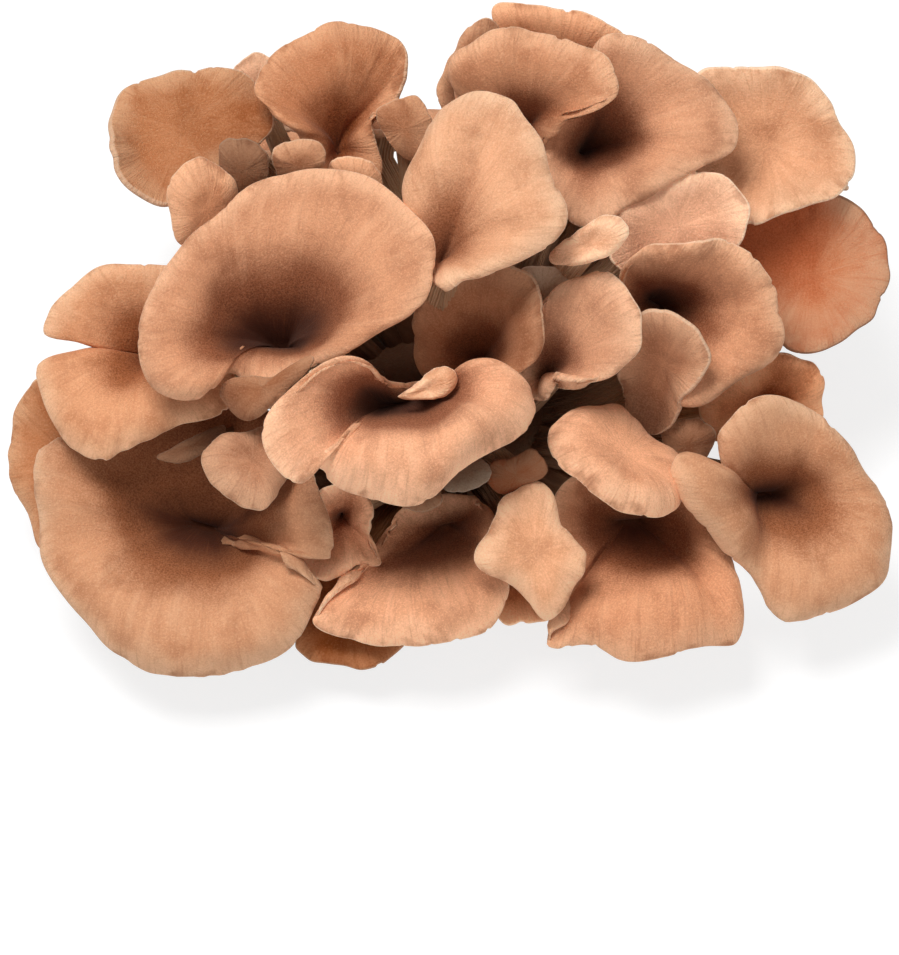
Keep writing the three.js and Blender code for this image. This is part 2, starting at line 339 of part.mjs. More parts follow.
// The rim's points, each with its roll, run anticlockwise about the way the frond opens.
function rimOf(frond, throat) {
  const face = FACES[frond.face];
  const ribs = frond.rim.map((rib) => ({ point: onFace(face, rib), roll: rib[3] }));
  const opening = meanPoint(ribs.map((rib) => rib.point)).sub(throat);
  if (loopNormal(ribs.map((rib) => rib.point)).dot(opening) < 0) ribs.reverse();
  const edge = new THREE.CatmullRomCurve3(ribs.map((rib) => rib.point), true, "catmullrom", 0.5);
  return ribs.flatMap((rib, i) => {
    const next = ribs[(i + 1) % ribs.length];
    if (rib.point.distanceTo(next.point) < LONG_SPAN) return [rib];
    return [rib, { point: edge.getPoint((i + 0.5) / ribs.length), roll: (rib.roll + next.roll) / 2 }];
  });
}

// A funnel's rib: it climbs out of the throat, bulges by its roll and runs into the rim.
function funnelRib(rib, throats, throat, axis, normal) {
  const line = new THREE.Line3(throats[0], throats[throats.length - 1]);
  const start = line.closestPointToPoint(rib.point, true, new THREE.Vector3());
  const span = rib.point.distanceTo(start);
  const outward = rib.point.clone().sub(start).projectOnPlane(normal);
  const run = Math.min(span * RIM_RUN, outward.length() * WALL_RUN);
  const rise = start.clone().addScaledVector(axis, span * THROAT_RISE);
  const crest = rib.point.clone()
    .addScaledVector(normal, rib.roll * ROLL_GAIN)
    .addScaledVector(outward.normalize(), -run);
  return [throat, rise, crest, rib.point];
}

// A cap's rib: it leaves the cap's middle level, bulges by its roll and comes down to the rim.
function capRib(rib, middle, normal) {
  const across = rib.point.clone().sub(middle);
  const third = across.clone().projectOnPlane(normal).divideScalar(3);
  const level = middle.clone().add(third);
  const crest = level.clone().add(third).addScaledVector(normal, across.dot(normal) / 3 + rib.roll);
  return [middle, level, crest, rib.point];
}

// The way each rib leaves the axis, turning on a little where the rim folds back on itself.
function spokesOf(rim, middle, axis) {
  const spokes = [];
  rim.forEach((rib, i) => {
    const spoke = rib.point.clone().sub(middle).projectOnPlane(axis);
    const last = spokes[i - 1];
    const backward = last && last.clone().cross(spoke).dot(axis) < 0;
    spokes.push(backward ? last.clone().applyAxisAngle(axis, SPOKE_TURN) : spoke);
  });
  return spokes;
}

// A whole frond as a solid, grown all over by grow.
function frondSolid(frond, grow) {
  const grade = GRADES[frond.grade];
  const throats = frond.throat.map((point) => onFace(FACES[frond.face], point));
  const throat = meanPoint(throats);
  const rim = rimOf(frond, throat);
  const normal = loopNormal(rim.map((rib) => rib.point));
  const heading = throat.clone().sub(HEART).normalize();
  const foot = HEART.clone().addScaledVector(heading, FOOT_REACH);
  const rimMiddle = meanPoint(rim.map((rib) => rib.point));
  const opening = rimMiddle.clone().sub(throat).normalize();
  const axis = opening.clone().addScaledVector(heading, LEAN).normalize();
  const isCap = frond.cap !== undefined;
  const middle = isCap ? rimMiddle.addScaledVector(normal, frond.cap) : throat;
  const ribs = rim.map((rib) => {
    return isCap ? capRib(rib, middle, normal) : funnelRib(rib, throats, throat, axis, normal);
  });
  const spokes = spokesOf(rim, middle, axis);
  const fullness = rim.map((rib) => Math.min(1, rib.point.distanceTo(throat) / FULL_SPAN));
  const step = 0.01;

  // A ring of points at one place between throat and rim, sunk square into the skin by depth and by
  // as much of the flesh as each rib has. The rim itself also moves outward by grow.
  const ring = (place, depth, flesh) => ribs.map((rib, j) => {
    const inner = cubicBezier(rib, place - step);
    const along = cubicBezier(rib, place).sub(inner).normalize();
    const before = cubicBezier(ribs[(j + ribs.length - 1) % ribs.length], place);
    const after = cubicBezier(ribs[(j + 1) % ribs.length], place);
    const square = along.clone().cross(after.sub(before)).normalize();
    const point = cubicBezier(rib, place).addScaledVector(square, -depth - flesh * fullness[j]);
    return place < 1 ? point : point.addScaledVector(along, grow);
  });

  const upper = grade.upper.map((place) => ring(place, -grow, 0));
  const under = grade.under.map((place) => {
    const flesh = THREE.MathUtils.lerp(grade.throat, grade.rim, place);
    return ring(isCap ? Math.max(place, CAP_COLLAR) : place, grow, flesh);
  });
  const collar = under[under.length - 1];
  const neck = meanPoint(collar);
  const bend = neck.distanceTo(foot) / 3;
  const stalk = [
    neck,
    neck.clone().addScaledVector(axis, -bend),
    foot.clone().addScaledVector(heading, bend),
    foot,
  ];
  const stalkRings = STALK_STEPS.map((place) => {
    const centre = cubicBezier(stalk, place);
    const run = cubicBezier(stalk, place).sub(cubicBezier(stalk, place - step)).normalize();
    return collar.map((point, j) => {
      const round = spokes[j].clone().projectOnPlane(run).setLength(grade.stalk + grow);
      return centre.clone().add(point.clone().sub(neck).lerp(round, Math.min(1, place * 1.5)));
    });
  });
  const sole = foot.clone().sub(heading);
  const pole = middle.clone().addScaledVector(axis, grow);
  return solidFromRings(pole, [...upper, ...under, ...stalkRings], sole);
}

// ---- The butt -----------------------------------------------------------------------------

function buttSolid(grow) {
  const rings = BUTT_PROFILE.map(([height, radius]) => {
    return Array.from({ length: BUTT_COLUMNS }, (_, j) => {
      const angle = (-2 * Math.PI * j) / BUTT_COLUMNS;
      const lump = 1 + BUTT_LUMP * Math.sin(3 * angle + height / 6) * Math.cos(2 * angle - height / 9);
      const reach = radius * lump + grow;
      return new THREE.Vector3(Math.cos(angle) * reach, Math.sin(angle) * reach * BUTT_DEPTH, height);
    });
  });
  const top = BUTT_PROFILE[BUTT_PROFILE.length - 1][0] + 1 + grow;
  return solidFromRings(new THREE.Vector3(0, 0, 0), rings, new THREE.Vector3(0, 0, top));
}

// ---- The head -----------------------------------------------------------------------------

// The largest piece of a solid that cutting has left in several.
function largestPiece(solid) {
  return solid.decompose().reduce((most, piece) => (piece.volume() > most.volume() ? piece : most));
}

// The geometry with points closer than reach joined, and the triangles this closes up left out.
function weld(geometry, reach) {
  const welded = mergeVertices(geometry, reach);
  const corners = welded.index.array;
  const kept = [];
  for (let i = 0; i < corners.length; i += 3) {
    const [a, b, c] = corners.subarray(i, i + 3);
    if (a !== b && b !== c && c !== a) kept.push(a, b, c);
  }
  return welded.setIndex(kept);
}

// Whether each edge has one triangle on either side.
function isWhole(geometry) {
  const corners = geometry.index.array;
  const edges = new Map();
  for (let i = 0; i < corners.length; i += 3) {
    for (let k = 0; k < 3; k += 1) {
      const ends = [corners[i + k], corners[i + ((k + 1) % 3)]].sort((a, b) => a - b).join();
      edges.set(ends, (edges.get(ends) ?? 0) + 1);
    }
  }
  return [...edges.values()].every((count) => count === 2);
}

function meshOf(name, solid, material) {
  const { vertProperties, triVerts } = solid.getMesh();
  const cut = new THREE.BufferGeometry();
  cut.setAttribute("position", new THREE.BufferAttribute(vertProperties, 3));
  cut.setIndex(new THREE.BufferAttribute(triVerts, 1));
  const geometry = WELD_REACHES.map((reach) => weld(cut, reach)).find(isWhole);
  if (!geometry) throw new Error(`${name} is pinched where it was cut`);
  geometry.computeVertexNormals();
  const mesh = new THREE.Mesh(geometry, material);
  mesh.name = name;
  return mesh;
}

const head = new THREE.Group();
head.name = "maitake_head";
head.add(meshOf("base_butt", buttSolid(0), BUTT_MATERIAL));

// Each frond is cut clear of the butt and of the fronds before it. A cutter is a frond grown by the
// gap, joined with the frond itself, because a sharp fold can stick out of its own grown shape.
const cutters = [buttSolid(GAP)];
for (const frond of FRONDS) {
  const clear = cutters.reduce((solid, cutter) => solid.subtract(cutter), frondSolid(frond, 0));
  head.add(meshOf(frond.name, largestPiece(clear), TONES[frond.tone]));
  cutters.push(frondSolid(frond, GAP).add(frondSolid(frond, 0)));
}

export default head;
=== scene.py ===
"""A maitake head, dressed: thin stalked fronds crowded together on one lumpy butt.

Lengths are millimetres and angles degrees, as in the head's solid model, until a mesh is made in metres.
Every frond is one closed skin: an upper side that runs out from the throat to the rim, a rounded edge, and
an under side that runs back in and down the stalk into the butt.
"""

import logging
import math
import zlib
from dataclasses import dataclass
from enum import Enum

import bpy
import numpy as np
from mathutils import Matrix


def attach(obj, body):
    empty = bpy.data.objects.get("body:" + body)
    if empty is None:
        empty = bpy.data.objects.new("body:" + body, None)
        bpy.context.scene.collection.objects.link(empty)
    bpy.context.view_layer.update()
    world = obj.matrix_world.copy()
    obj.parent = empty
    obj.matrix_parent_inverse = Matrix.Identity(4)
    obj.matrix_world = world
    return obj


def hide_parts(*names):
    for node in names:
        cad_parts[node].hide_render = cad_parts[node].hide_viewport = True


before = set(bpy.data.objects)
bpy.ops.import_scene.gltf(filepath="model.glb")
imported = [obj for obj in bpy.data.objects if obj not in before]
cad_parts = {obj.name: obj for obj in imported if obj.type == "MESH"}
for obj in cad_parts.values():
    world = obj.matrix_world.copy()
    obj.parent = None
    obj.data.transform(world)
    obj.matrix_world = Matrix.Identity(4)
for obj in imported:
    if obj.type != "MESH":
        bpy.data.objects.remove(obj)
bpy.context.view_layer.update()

Array = np.ndarray
Rgb = tuple[int, int, int]
Socket = bpy.types.NodeSocket
Sockets = bpy.types.bpy_prop_collection
log = logging.getLogger("maitake")

MM = 0.001
PICTURE = (899, 955)  # width and height that the camera's view is set up for

# ---- Driving dimensions, as in the solid model --------------------------------------------

FACE_HEIGHT = 50.0  # how high the zero point of both faces stands over the cut flat
LEAN = 0.3  # how far a frond's axis leans from the way it opens to the way its stalk points
FULL_SPAN = 12.0  # a rib shorter than this has thinner flesh, in proportion
THROAT_RISE = 0.35  # share of a rib that climbs straight out of the throat
RIM_RUN = 0.3  # share of a rib that runs level into the rim, but no more than
WALL_RUN = 0.45  # this share of its reach from the throat, seen square to the rim
ROLL_GAIN = 2.25  # lift of the rib's control point that raises its crest by one
HEART = np.array([0.0, 0.0, 7.0])  # the stalks run out of the butt as if they all began here
FOOT_REACH = 24.0  # how far from the heart a stalk's foot stands

# The butt: each row is a height and a radius.
BUTT_PROFILE = np.array([(0, 23), (5, 28), (13, 32), (22, 30), (30, 22), (35, 10)], float)
BUTT_DEPTH = 0.88  # its size along Y against its size along X
BUTT_LUMP = 0.07

# ---- Fineness of the skins ----------------------------------------------------------------

FIRST_PLACE = 0.11  # where the upper skin's first ring lies between throat, 0, and rim, 1
CAP_COLLAR = 0.45  # place on a cap's under skin where its stalk begins
FULL_HOLLOW = 10.0  # a cap whose middle lies this deep is as dark there as a funnel, partly by darker skin and partly by painted shade
TUCK_TONE_AND_SHADE = 0.9  # depth, for its colour, of the side of a cap that its stalk comes from: partly darker skin, partly painted shade where it tucks under others
CROWDING = 1.25  # above 1, the rings crowd towards the rim
EDGE_ROWS = 5
STALK_ROWS = 9
CALM_SPAN = 22.0  # a frond whose ribs are shorter than this is less wavy, in proportion
LIP_DROP = 1.3  # how far the rim is bent down
LIP_WIDTH = 2.2
NICK = 1.0  # how deep the nicks in a rim are
NICK_WIDTH = 1.3
DRIFT = 0.35  # how far the rim wanders outward and inward
DRIFT_WIDTH = 2.5
WRINKLE_WIDTH = 3.0  # of the strip along the rim that the short wrinkles lie in
CREASE = 0.3  # how deep the creases that run out from the throat are
LUMP = 0.3  # how high the skin's lumps are
LUMP_GAP = 14.0
GILL_GAP = 5.0  # from one gill ridge to the next at the rim
GILL_HEIGHT = 0.28
FINE_GILL_GAP = 1.5
GILL_BEND = 1.5  # how far the slow waves turn the gill ridges, in radians
FLUTES = 7  # round a stalk
FLUTE = 0.05  # how deep they are, as a share of its radius
FLUTE_CHANCE = 0.04  # the same for the finer, uneven ones
SHADE_CHANCE = 0.4  # how much of a frond's shade is left to chance
FLUTE_TURN = 6.0  # the flutes start anywhere within this angle, in radians


class Face(Enum):
    """A sloping side of the head: its slope, its turn about Z, and how far back its zero lies."""

    FRONT = (55.0, 0.0, -7.0)
    BACK = (35.0, 180.0, -1.0)

    def place(self, rows: Array) -> Array:
        """Moves points given on this face into the head's own frame.

        A point is (across, up, out). The slope turns up and out about X, the setback moves them back,
        and the turn swings the whole face about Z.

        Args:
            rows: points on the face, one a row; further columns are ignored.

        Returns:
            The points in the head's frame, one a row.
        """
        slope, turn, setback = self.value
        sin_s, cos_s = math.sin(math.radians(slope)), math.cos(math.radians(slope))
        sin_t, cos_t = math.sin(math.radians(turn)), math.cos(math.radians(turn))
        across, up, out = rows[:, 0], rows[:, 1], rows[:, 2]
        y = up * sin_s - out * cos_s + setback
        z = up * cos_s + out * sin_s + FACE_HEIGHT
        return np.stack([across * cos_t - y * sin_t, across * sin_t + y * cos_t, z], axis=1)


@dataclass(frozen=True)
class Build:
    """How thick a size of frond is, and how finely its skin is divided."""

    throat: float  # flesh at the throat
    rim: float  # flesh at the rim
    stalk: float  # radius of the stalk's foot
    collar: float  # place where the under skin turns down into the stalk
    columns: int
    upper_rows: int
    under_rows: int
    wave: float  # height of the slow waves at the rim


class Grade(Enum):
    """The three sizes of frond."""

    LARGE = Build(3.6, 1.5, 5.6, 0.22, 192, 32, 15, 0.6)
    MEDIUM = Build(3.0, 1.3, 4.4, 0.24, 144, 26, 13, 0.5)
    SMALL = Build(2.4, 1.2, 3.0, 0.26, 100, 20, 10, 0.3)


class Tone(Enum):
    """The skin finishes a frond can have; the value is the model's material slot."""

    TAN = "frond_tan"
    BROWN = "frond_brown"
    # orange: partly the frond's own colour, partly painted glow of light shining through thin flesh from
    # behind
    RUST = "frond_rust"
    PALE = "frond_pale"

    def crinkle(self) -> float:
        """Height of the short wrinkles at the rim."""
        return {Tone.TAN: 0.22, Tone.BROWN: 0.2, Tone.RUST: 0.5, Tone.PALE: 0.1}[self]


# ---- Whole-array geometry -----------------------------------------------------------------


def unit(vectors: Array) -> Array:
    """The vectors of the last axis, scaled to length one."""
    return vectors / np.maximum(np.linalg.norm(vectors, axis=-1, keepdims=True), 1e-9)


def smooth(value: Array, low: float, high: float) -> Array:
    """A soft step: 0 below low, 1 above high, and 3x^2 - 2x^3 of the share between."""
    share = np.clip((value - low) / (high - low), 0.0, 1.0)
    return share * share * (3.0 - 2.0 * share)


def closed_spline(points: Array, places: Array) -> Array:
    """Points on a closed Catmull-Rom curve: the cubic whose slope at each point joins its neighbours.

    Args:
        points: the control points, one a row.
        places: 2.25 is a quarter of the way from control point 2 to control point 3.

    Returns:
        One row for each place.
    """
    count = len(points)
    first = np.floor(places).astype(int)
    f = (places - first)[:, None]
    a, b, c, d = (points[(first + k) % count] for k in (-1, 0, 1, 2))
    return 0.5 * (2 * b + (c - a) * f + (2 * a - 5 * b + 4 * c - d) * f**2 + (3 * b - a - 3 * c + d) * f**3)


def evenly_round(rows: Array, columns: int) -> Array:
    """Resamples a closed curve through rows at columns places that are equally far apart along it.

    Args:
        rows: control points whose first three numbers are the position; the rest follow along.
        columns: how many places.

    Returns:
        An array with one row for each place and the same columns as rows.
    """
    fine = np.linspace(0.0, len(rows), 40 * len(rows) + 1)
    run = closed_spline(rows, fine)[:, :3]
    length = np.concatenate([[0.0], np.cumsum(np.linalg.norm(np.diff(run, axis=0), axis=1))])
    even = np.interp(np.arange(columns) / columns * length[-1], length, fine)
    return closed_spline(rows, even)


def loop_normal(points: Array) -> Array:
    """The unit vector square to a closed loop: the sum of the triangles its edges sweep."""
    arms = points - points.mean(axis=0)
    return unit(np.cross(arms, np.roll(arms, -1, axis=0)).sum(axis=0))


def bezier(ends: list[Array], t: Array) -> Array:
    """The cubic with weights (1-t)^3, 3(1-t)^2 t, 3(1-t) t^2 and t^3 on its four control points."""
    s = 1.0 - t
    return s**3 * ends[0] + 3 * s * s * t * ends[1] + 3 * s * t * t * ends[2] + t**3 * ends[3]


def bezier_slope(ends: list[Array], t: Array) -> Array:
    """How that cubic runs on with t: the differences of its control points, weighted."""
    s = 1.0 - t
    a, b, c = (ends[i + 1] - ends[i] for i in range(3))
    return 3 * s * s * a + 6 * s * t * b + 3 * t * t * c


def skin_normals(grid: Array) -> Array:
    """Unit normals of a grid of points: the run outward across the run round, whose ends meet."""
    outward = np.gradient(grid, axis=0)
    around = np.roll(grid, -1, axis=1) - np.roll(grid, 1, axis=1)
    return unit(np.cross(outward, around))


def spread_round(grid: Array, reach: int) -> Array:
    """Each vector averaged with its neighbours round the grid, shorter where they point apart.

    Args:
        grid: vectors, rows by columns by three.
        reach: how many columns on each side count; nearer ones count more.

    Returns:
        The averaged vectors.
    """
    steps = np.arange(-reach, reach + 1)
    weight = 1.0 + np.cos(np.pi * steps / (reach + 1))
    total = sum(w * np.roll(grid, k, axis=1) for w, k in zip(weight, steps))
    return total / weight.sum()


def round_waves(rng: np.random.Generator, angle: Array, orders: range, fade: float) -> Array:
    """A wavy function of the angle round a frond: cosines of whole orders with random phases.

    Each order k has the weight k^-fade, and the whole is scaled so that its spread is one.

    Args:
        rng: source of the phases and weights.
        angle: angles in radians.
        orders: the whole numbers of waves in a turn.
        fade: how fast the higher orders weaken.

    Returns:
        The function's value at each angle.
    """
    order = np.array(orders, float)
    weight = order**-fade * rng.uniform(0.5, 1.0, len(order))
    phase = rng.uniform(0.0, 2 * np.pi, len(order))
    total = (weight * np.cos(angle[..., None] * order + phase)).sum(axis=-1)
    return total / np.sqrt((weight**2).sum() / 2)


def lumps(rng: np.random.Generator, points: Array, size: float) -> Array:
    """A lumpy function of place: sines of plane waves about size long, in random directions."""
    count = 9
    direction = unit(rng.normal(size=(count, 3))) * 2 * np.pi / (size * rng.uniform(0.7, 1.5, (count, 1)))
    phase = rng.uniform(0.0, 2 * np.pi, count)
    return np.sin(points @ direction.T + phase).sum(axis=-1) / math.sqrt(count / 2)


def closed_grid(rows: int, columns: int) -> tuple[Array, Array]:
    """The faces of a grid whose columns meet round it, with a pole before it and one after.

    Vertex 0 is the first pole, row i and column j are vertex 1 + i columns + j, and the last pole
    comes last. Every face turns anticlockwise seen from outside.

    Args:
        rows: rows in the grid.
        columns: columns in the grid.

    Returns:
        The four-cornered faces and the three-cornered ones, one a row.
    """
    here = np.arange(columns)
    onward = (here + 1) % columns
    start = 1 + np.arange(rows - 1)[:, None] * columns
    corners = (start + here, start + columns + here, start + columns + onward, start + onward)
    quads = np.stack(corners, axis=-1).reshape(-1, 4)
    last = 1 + (rows - 1) * columns
    cap = np.stack([np.zeros(columns, int), 1 + here, 1 + onward], axis=1)
    tail = np.stack([last + here, np.full(columns, last + columns), last + onward], axis=1)
    return quads, np.concatenate([cap, tail])


def skin_object(
    name: str, grid: Array, poles: tuple[Array, Array], marks: dict[str, Array]
) -> bpy.types.Object:
    """Makes a closed, smooth-shaded object from a grid of points and its two poles.

    Args:
        name: the piece's name.
        grid: points in millimetres, rows by columns by three.
        poles: the points before the first row and after the last one.
        marks: values for the materials, rows by columns, or rows by columns by three.

    Returns:
        The object, in metres, at the origin.
    """
    rows, columns = grid.shape[:2]
    quads, triangles = closed_grid(rows, columns)
    points = np.concatenate([poles[0][None], grid.reshape(-1, 3), poles[1][None]]) * MM
    corners = np.concatenate([quads.ravel(), triangles.ravel()])
    sizes = np.concatenate([np.full(len(quads), 4), np.full(len(triangles), 3)])
    mesh = bpy.data.meshes.new(name)
    mesh.vertices.add(len(points))
    mesh.vertices.foreach_set("co", points.astype(np.float32).ravel())
    mesh.loops.add(len(corners))
    mesh.loops.foreach_set("vertex_index", corners.astype(np.int32))
    mesh.polygons.add(len(sizes))
    mesh.polygons.foreach_set("loop_start", (np.cumsum(sizes) - sizes).astype(np.int32))
    mesh.polygons.foreach_set("use_smooth", np.ones(len(sizes), bool))
    mesh.update(calc_edges=True)
    for key, values in marks.items():
        flat = values.reshape(rows * columns, -1)
        flat = np.concatenate([flat[:columns].mean(axis=0)[None], flat, flat[-columns:].mean(axis=0)[None]])
        kind, field = ("FLOAT_VECTOR", "vector") if flat.shape[1] == 3 else ("FLOAT", "value")
        mesh.attributes.new(key, kind, "POINT").data.foreach_set(field, flat.astype(np.float32).ravel())
    thing = bpy.data.objects.new(name, mesh)
    bpy.context.scene.collection.objects.link(thing)
    return thing


# ---- Fronds -------------------------------------------------------------------------------


@dataclass(frozen=True)
class Ribs:
    """The cubics that carry a frond's skin from its middle to its rim, evenly spaced round the rim."""

    ends: list[Array]  # the four control points of every rib
    throat: Array
    middle: Array  # a funnel's throat, or the middle of a cap
    axis: Array
    flesh: Array  # how much of the flesh each rib has
    heading: Array  # the way the stalk comes out of the butt
    normal: Array  # square to the rim's loop

    def angles(self) -> Array:
        """The angle of each rib round the frond, by its share of the rim's length."""
        count = len(self.ends[3])
        return np.arange(count) * 2 * np.pi / count

    def girth(self) -> float:
        """The length of the rim."""
        return float(np.linalg.norm(self.ends[3] - np.roll(self.ends[3], 1, axis=0), axis=1).sum())

    def spans(self) -> Array:
        """How far each rib's tip is from the middle."""
        return np.linalg.norm(self.ends[3] - self.middle, axis=1)

    def spokes(self) -> Array:
        """Unit vectors square to the axis, one a rib, that only turn forward where the rim folds back."""
        arms = self.ends[3] - self.middle
        first = unit(arms[0] - (arms[0] @ self.axis) * self.axis)
        second = np.cross(self.axis, first)
        turn = np.maximum.accumulate(np.unwrap(np.arctan2(arms @ second, arms @ first)))
        return np.cos(turn)[:, None] * first + np.sin(turn)[:, None] * second


@dataclass(frozen=True)
class Frond:
    """One thin frond: a throat, a rim, and the stalk that carries it.

    Its skin is a bundle of cubic ribs. A funnel's climb out of its throat along its axis, bulge by
    their roll and run level into the rim. A cap's leave its middle level, bulge by their roll and come
    down to the rim. Throat points are (across, up, out) on the face, and rim points (across, up, out,
    roll).
    """

    name: str
    face: Face
    grade: Grade
    tone: Tone
    throat: tuple[tuple[float, ...], ...]
    rim: tuple[tuple[float, ...], ...]
    cap: float | None = None  # how high a cap's middle stands over its rim; a funnel has none
    shade: float = 0.0  # how much lighter than its tone, in steps of 5 percent: partly its own tone, partly painted light and shade of where it sits in the head
    warm: float = 0.0  # how much more saturated than its tone, in percent, and a touch redder
    shadow_side: tuple[float, float] = (0.0, 0.0)  # where painted shadow darkens its side, across and up; longer is darker

    def ribs(self) -> Ribs:
        """Works out the frond's ribs from its throat and its rim."""
        throats = self.face.place(np.array(self.throat, float))
        throat = throats.mean(axis=0)
        loop = np.array(self.rim, float)
        loop = np.column_stack([self.face.place(loop), loop[:, 3]])
        opening = unit(loop[:, :3].mean(axis=0) - throat)
        if loop_normal(loop[:, :3]) @ opening < 0:
            loop = loop[::-1]
        edge = evenly_round(loop, self.grade.value.columns)
        tip, roll = edge[:, :3], edge[:, 3:]
        normal = loop_normal(tip)
        heading = unit(throat - HEART)
        axis = unit(opening + heading * LEAN)
        if self.cap is None:
            middle = throat
            line = throats[-1] - throats[0]
            share = np.clip((tip - throats[0]) @ line / max(line @ line, 1e-9), 0.0, 1.0)
            start = throats[0] + share[:, None] * line
            span = np.linalg.norm(tip - start, axis=1, keepdims=True)
            outward = tip - start
            outward = outward - (outward @ normal)[:, None] * normal
            reach = np.linalg.norm(outward, axis=1, keepdims=True)
            rise = start + axis * span * THROAT_RISE
            run = np.minimum(span * RIM_RUN, reach * WALL_RUN)
            crest = tip + normal * roll * ROLL_GAIN - unit(outward) * run
        else:
            middle = tip.mean(axis=0) + normal * self.cap
            climb = ((tip - middle) @ normal)[:, None]
            third = (tip - middle - climb * normal) / 3.0
            rise = middle + third
            crest = rise + third + normal * (climb / 3.0 + roll)
        ends = [np.broadcast_to(middle, tip.shape), rise, crest, tip]
        flesh = np.minimum(1.0, np.linalg.norm(tip - throat, axis=1) / FULL_SPAN)
        return Ribs(ends, throat, middle, axis, flesh, heading, normal)

    def skin(self, ribs: Ribs, places: Array, rng: np.random.Generator) -> Array:
        """The upper skin on a grid, with the waves and wrinkles that grow towards its rim.

        Each rib is its cubic at the place between throat, 0, and rim, 1, moved along the skin's normal
        by slow waves that grow with the cube of the place, by lumps, by wrinkles along the rim whose
        height comes and goes round it, and by a few narrow creases that run out from the throat. The
        rim also wanders a little outward and inward.

        Args:
            ribs: the frond's ribs.
            places: one place for each row.
            rng: the frond's own source of chance.

        Returns:
            Points, rows by columns by three.
        """
        t = places[:, None, None]
        skin = bezier(ribs.ends, t)
        outward = unit(bezier_slope(ribs.ends, t))
        normal = unit(np.cross(outward, np.roll(skin, -1, axis=1) - np.roll(skin, 1, axis=1)))
        angle, girth = ribs.angles(), ribs.girth()
        place = places[:, None]
        inset = (1.0 - place) * ribs.spans()
        calm = min(1.0, float(ribs.spans().mean()) / CALM_SPAN)
        slow = round_waves(rng, angle, range(3, 9), 0.7) * self.grade.value.wave
        short = round_waves(rng, angle, range(int(girth / 11.0), int(girth / 4.5)), 0.0)
        patches = smooth(round_waves(rng, angle, range(2, 6), 0.0), -0.2, 1.4)
        crease = round_waves(rng, angle, range(5, int(girth / 8.0) + 6), 0.3)
        lift = slow * place**3 + short * patches * self.tone.crinkle() * np.exp(-inset / WRINKLE_WIDTH)
        lift = lift - CREASE * smooth(crease, 1.4, 2.6) * smooth(place, 0.4, 0.8)
        lift = lift + LUMP * lumps(rng, skin, LUMP_GAP) * smooth(place, 0.15, 0.5)
        lift = lift - LIP_DROP * np.exp(-inset / LIP_WIDTH)
        drift = round_waves(rng, angle, range(5, 16), 0.8) * DRIFT * np.exp(-inset / DRIFT_WIDTH)
        nicks = smooth(round_waves(rng, angle, range(int(girth / 14.0), int(girth / 3.0)), 0.3), 1.1, 2.2)
        drift = drift - NICK * nicks * np.exp(-inset / NICK_WIDTH)
        return skin + (normal * lift[..., None] + outward * drift[..., None]) * calm

    def under_skin(
        self, ribs: Ribs, places: Array, skin: Array, rng: np.random.Generator
    ) -> tuple[Array, Array]:
        """The under skin on the upper one's grid: it lies below it by the flesh, under low gill ridges.

        The flesh thins from throat to rim and on short ribs. The ridges are cosines of the angle round
        the frond, bent by slow waves, and fade before the rim.

        Args:
            ribs: the frond's ribs.
            places: one place for each row.
            skin: the upper skin's points.
            rng: the frond's own source of chance.

        Returns:
            Points, rows by columns by three, and how open the skin is at each: 1 flat, 0 in a tight fold.
        """
        build = self.grade.value
        flesh = (build.throat + (build.rim - build.throat) * places[:, None]) * ribs.flesh
        bend = GILL_BEND * round_waves(rng, ribs.angles(), range(2, 6), 0.0)
        ridge = np.cos(ribs.angles() * round(ribs.girth() / GILL_GAP) + bend)
        height = GILL_HEIGHT * smooth(1.0 - places[:, None], 0.04, 0.22) * ribs.flesh**2
        normals = skin_normals(skin)
        below = spread_round(normals, build.columns // 32)
        openness = np.linalg.norm(spread_round(normals, build.columns // 12), axis=-1)
        return skin - below * (flesh + height * (ridge - 1.0))[..., None], openness

    def stalk(self, ribs: Ribs, collar: Array, rng: np.random.Generator) -> tuple[Array, Array, Array]:
        """The stalk: rings along a cubic that leaves the collar along the axis and ends at the foot.

        Each ring is the collar's outline, seen from its middle, blended into a fluted circle square to
        the cubic.

        Args:
            ribs: the frond's ribs.
            collar: the under skin's innermost ring.
            rng: the frond's own source of chance.

        Returns:
            The rings' points, how far along the stalk each ring is, in millimetres, and the foot.
        """
        build = self.grade.value
        neck = collar.mean(axis=0)
        foot = HEART + ribs.heading * FOOT_REACH
        reach = float(np.linalg.norm(neck - foot))
        spine = [neck, neck - ribs.axis * reach / 3, foot + ribs.heading * reach / 3, foot]
        place = np.linspace(0.0, 1.0, STALK_ROWS + 1)[1:]
        centre = bezier(spine, place[:, None])[:, None]
        run = unit(bezier_slope(spine, place[:, None]))[:, None]
        spokes = ribs.spokes()[None]
        square = unit(spokes - (spokes * run).sum(axis=-1, keepdims=True) * run)
        flutes = 1.0 + FLUTE * np.cos(ribs.angles() * FLUTES + rng.uniform(0.0, FLUTE_TURN))
        flutes = flutes + FLUTE_CHANCE * round_waves(rng, ribs.angles(), range(11, 19), 0.0)
        circle = square * (build.stalk * flutes)[None, :, None]
        blend = smooth(place, 0.0, 0.7)[:, None, None]
        return centre + (collar - neck)[None] * (1.0 - blend) + circle * blend, place * reach, foot

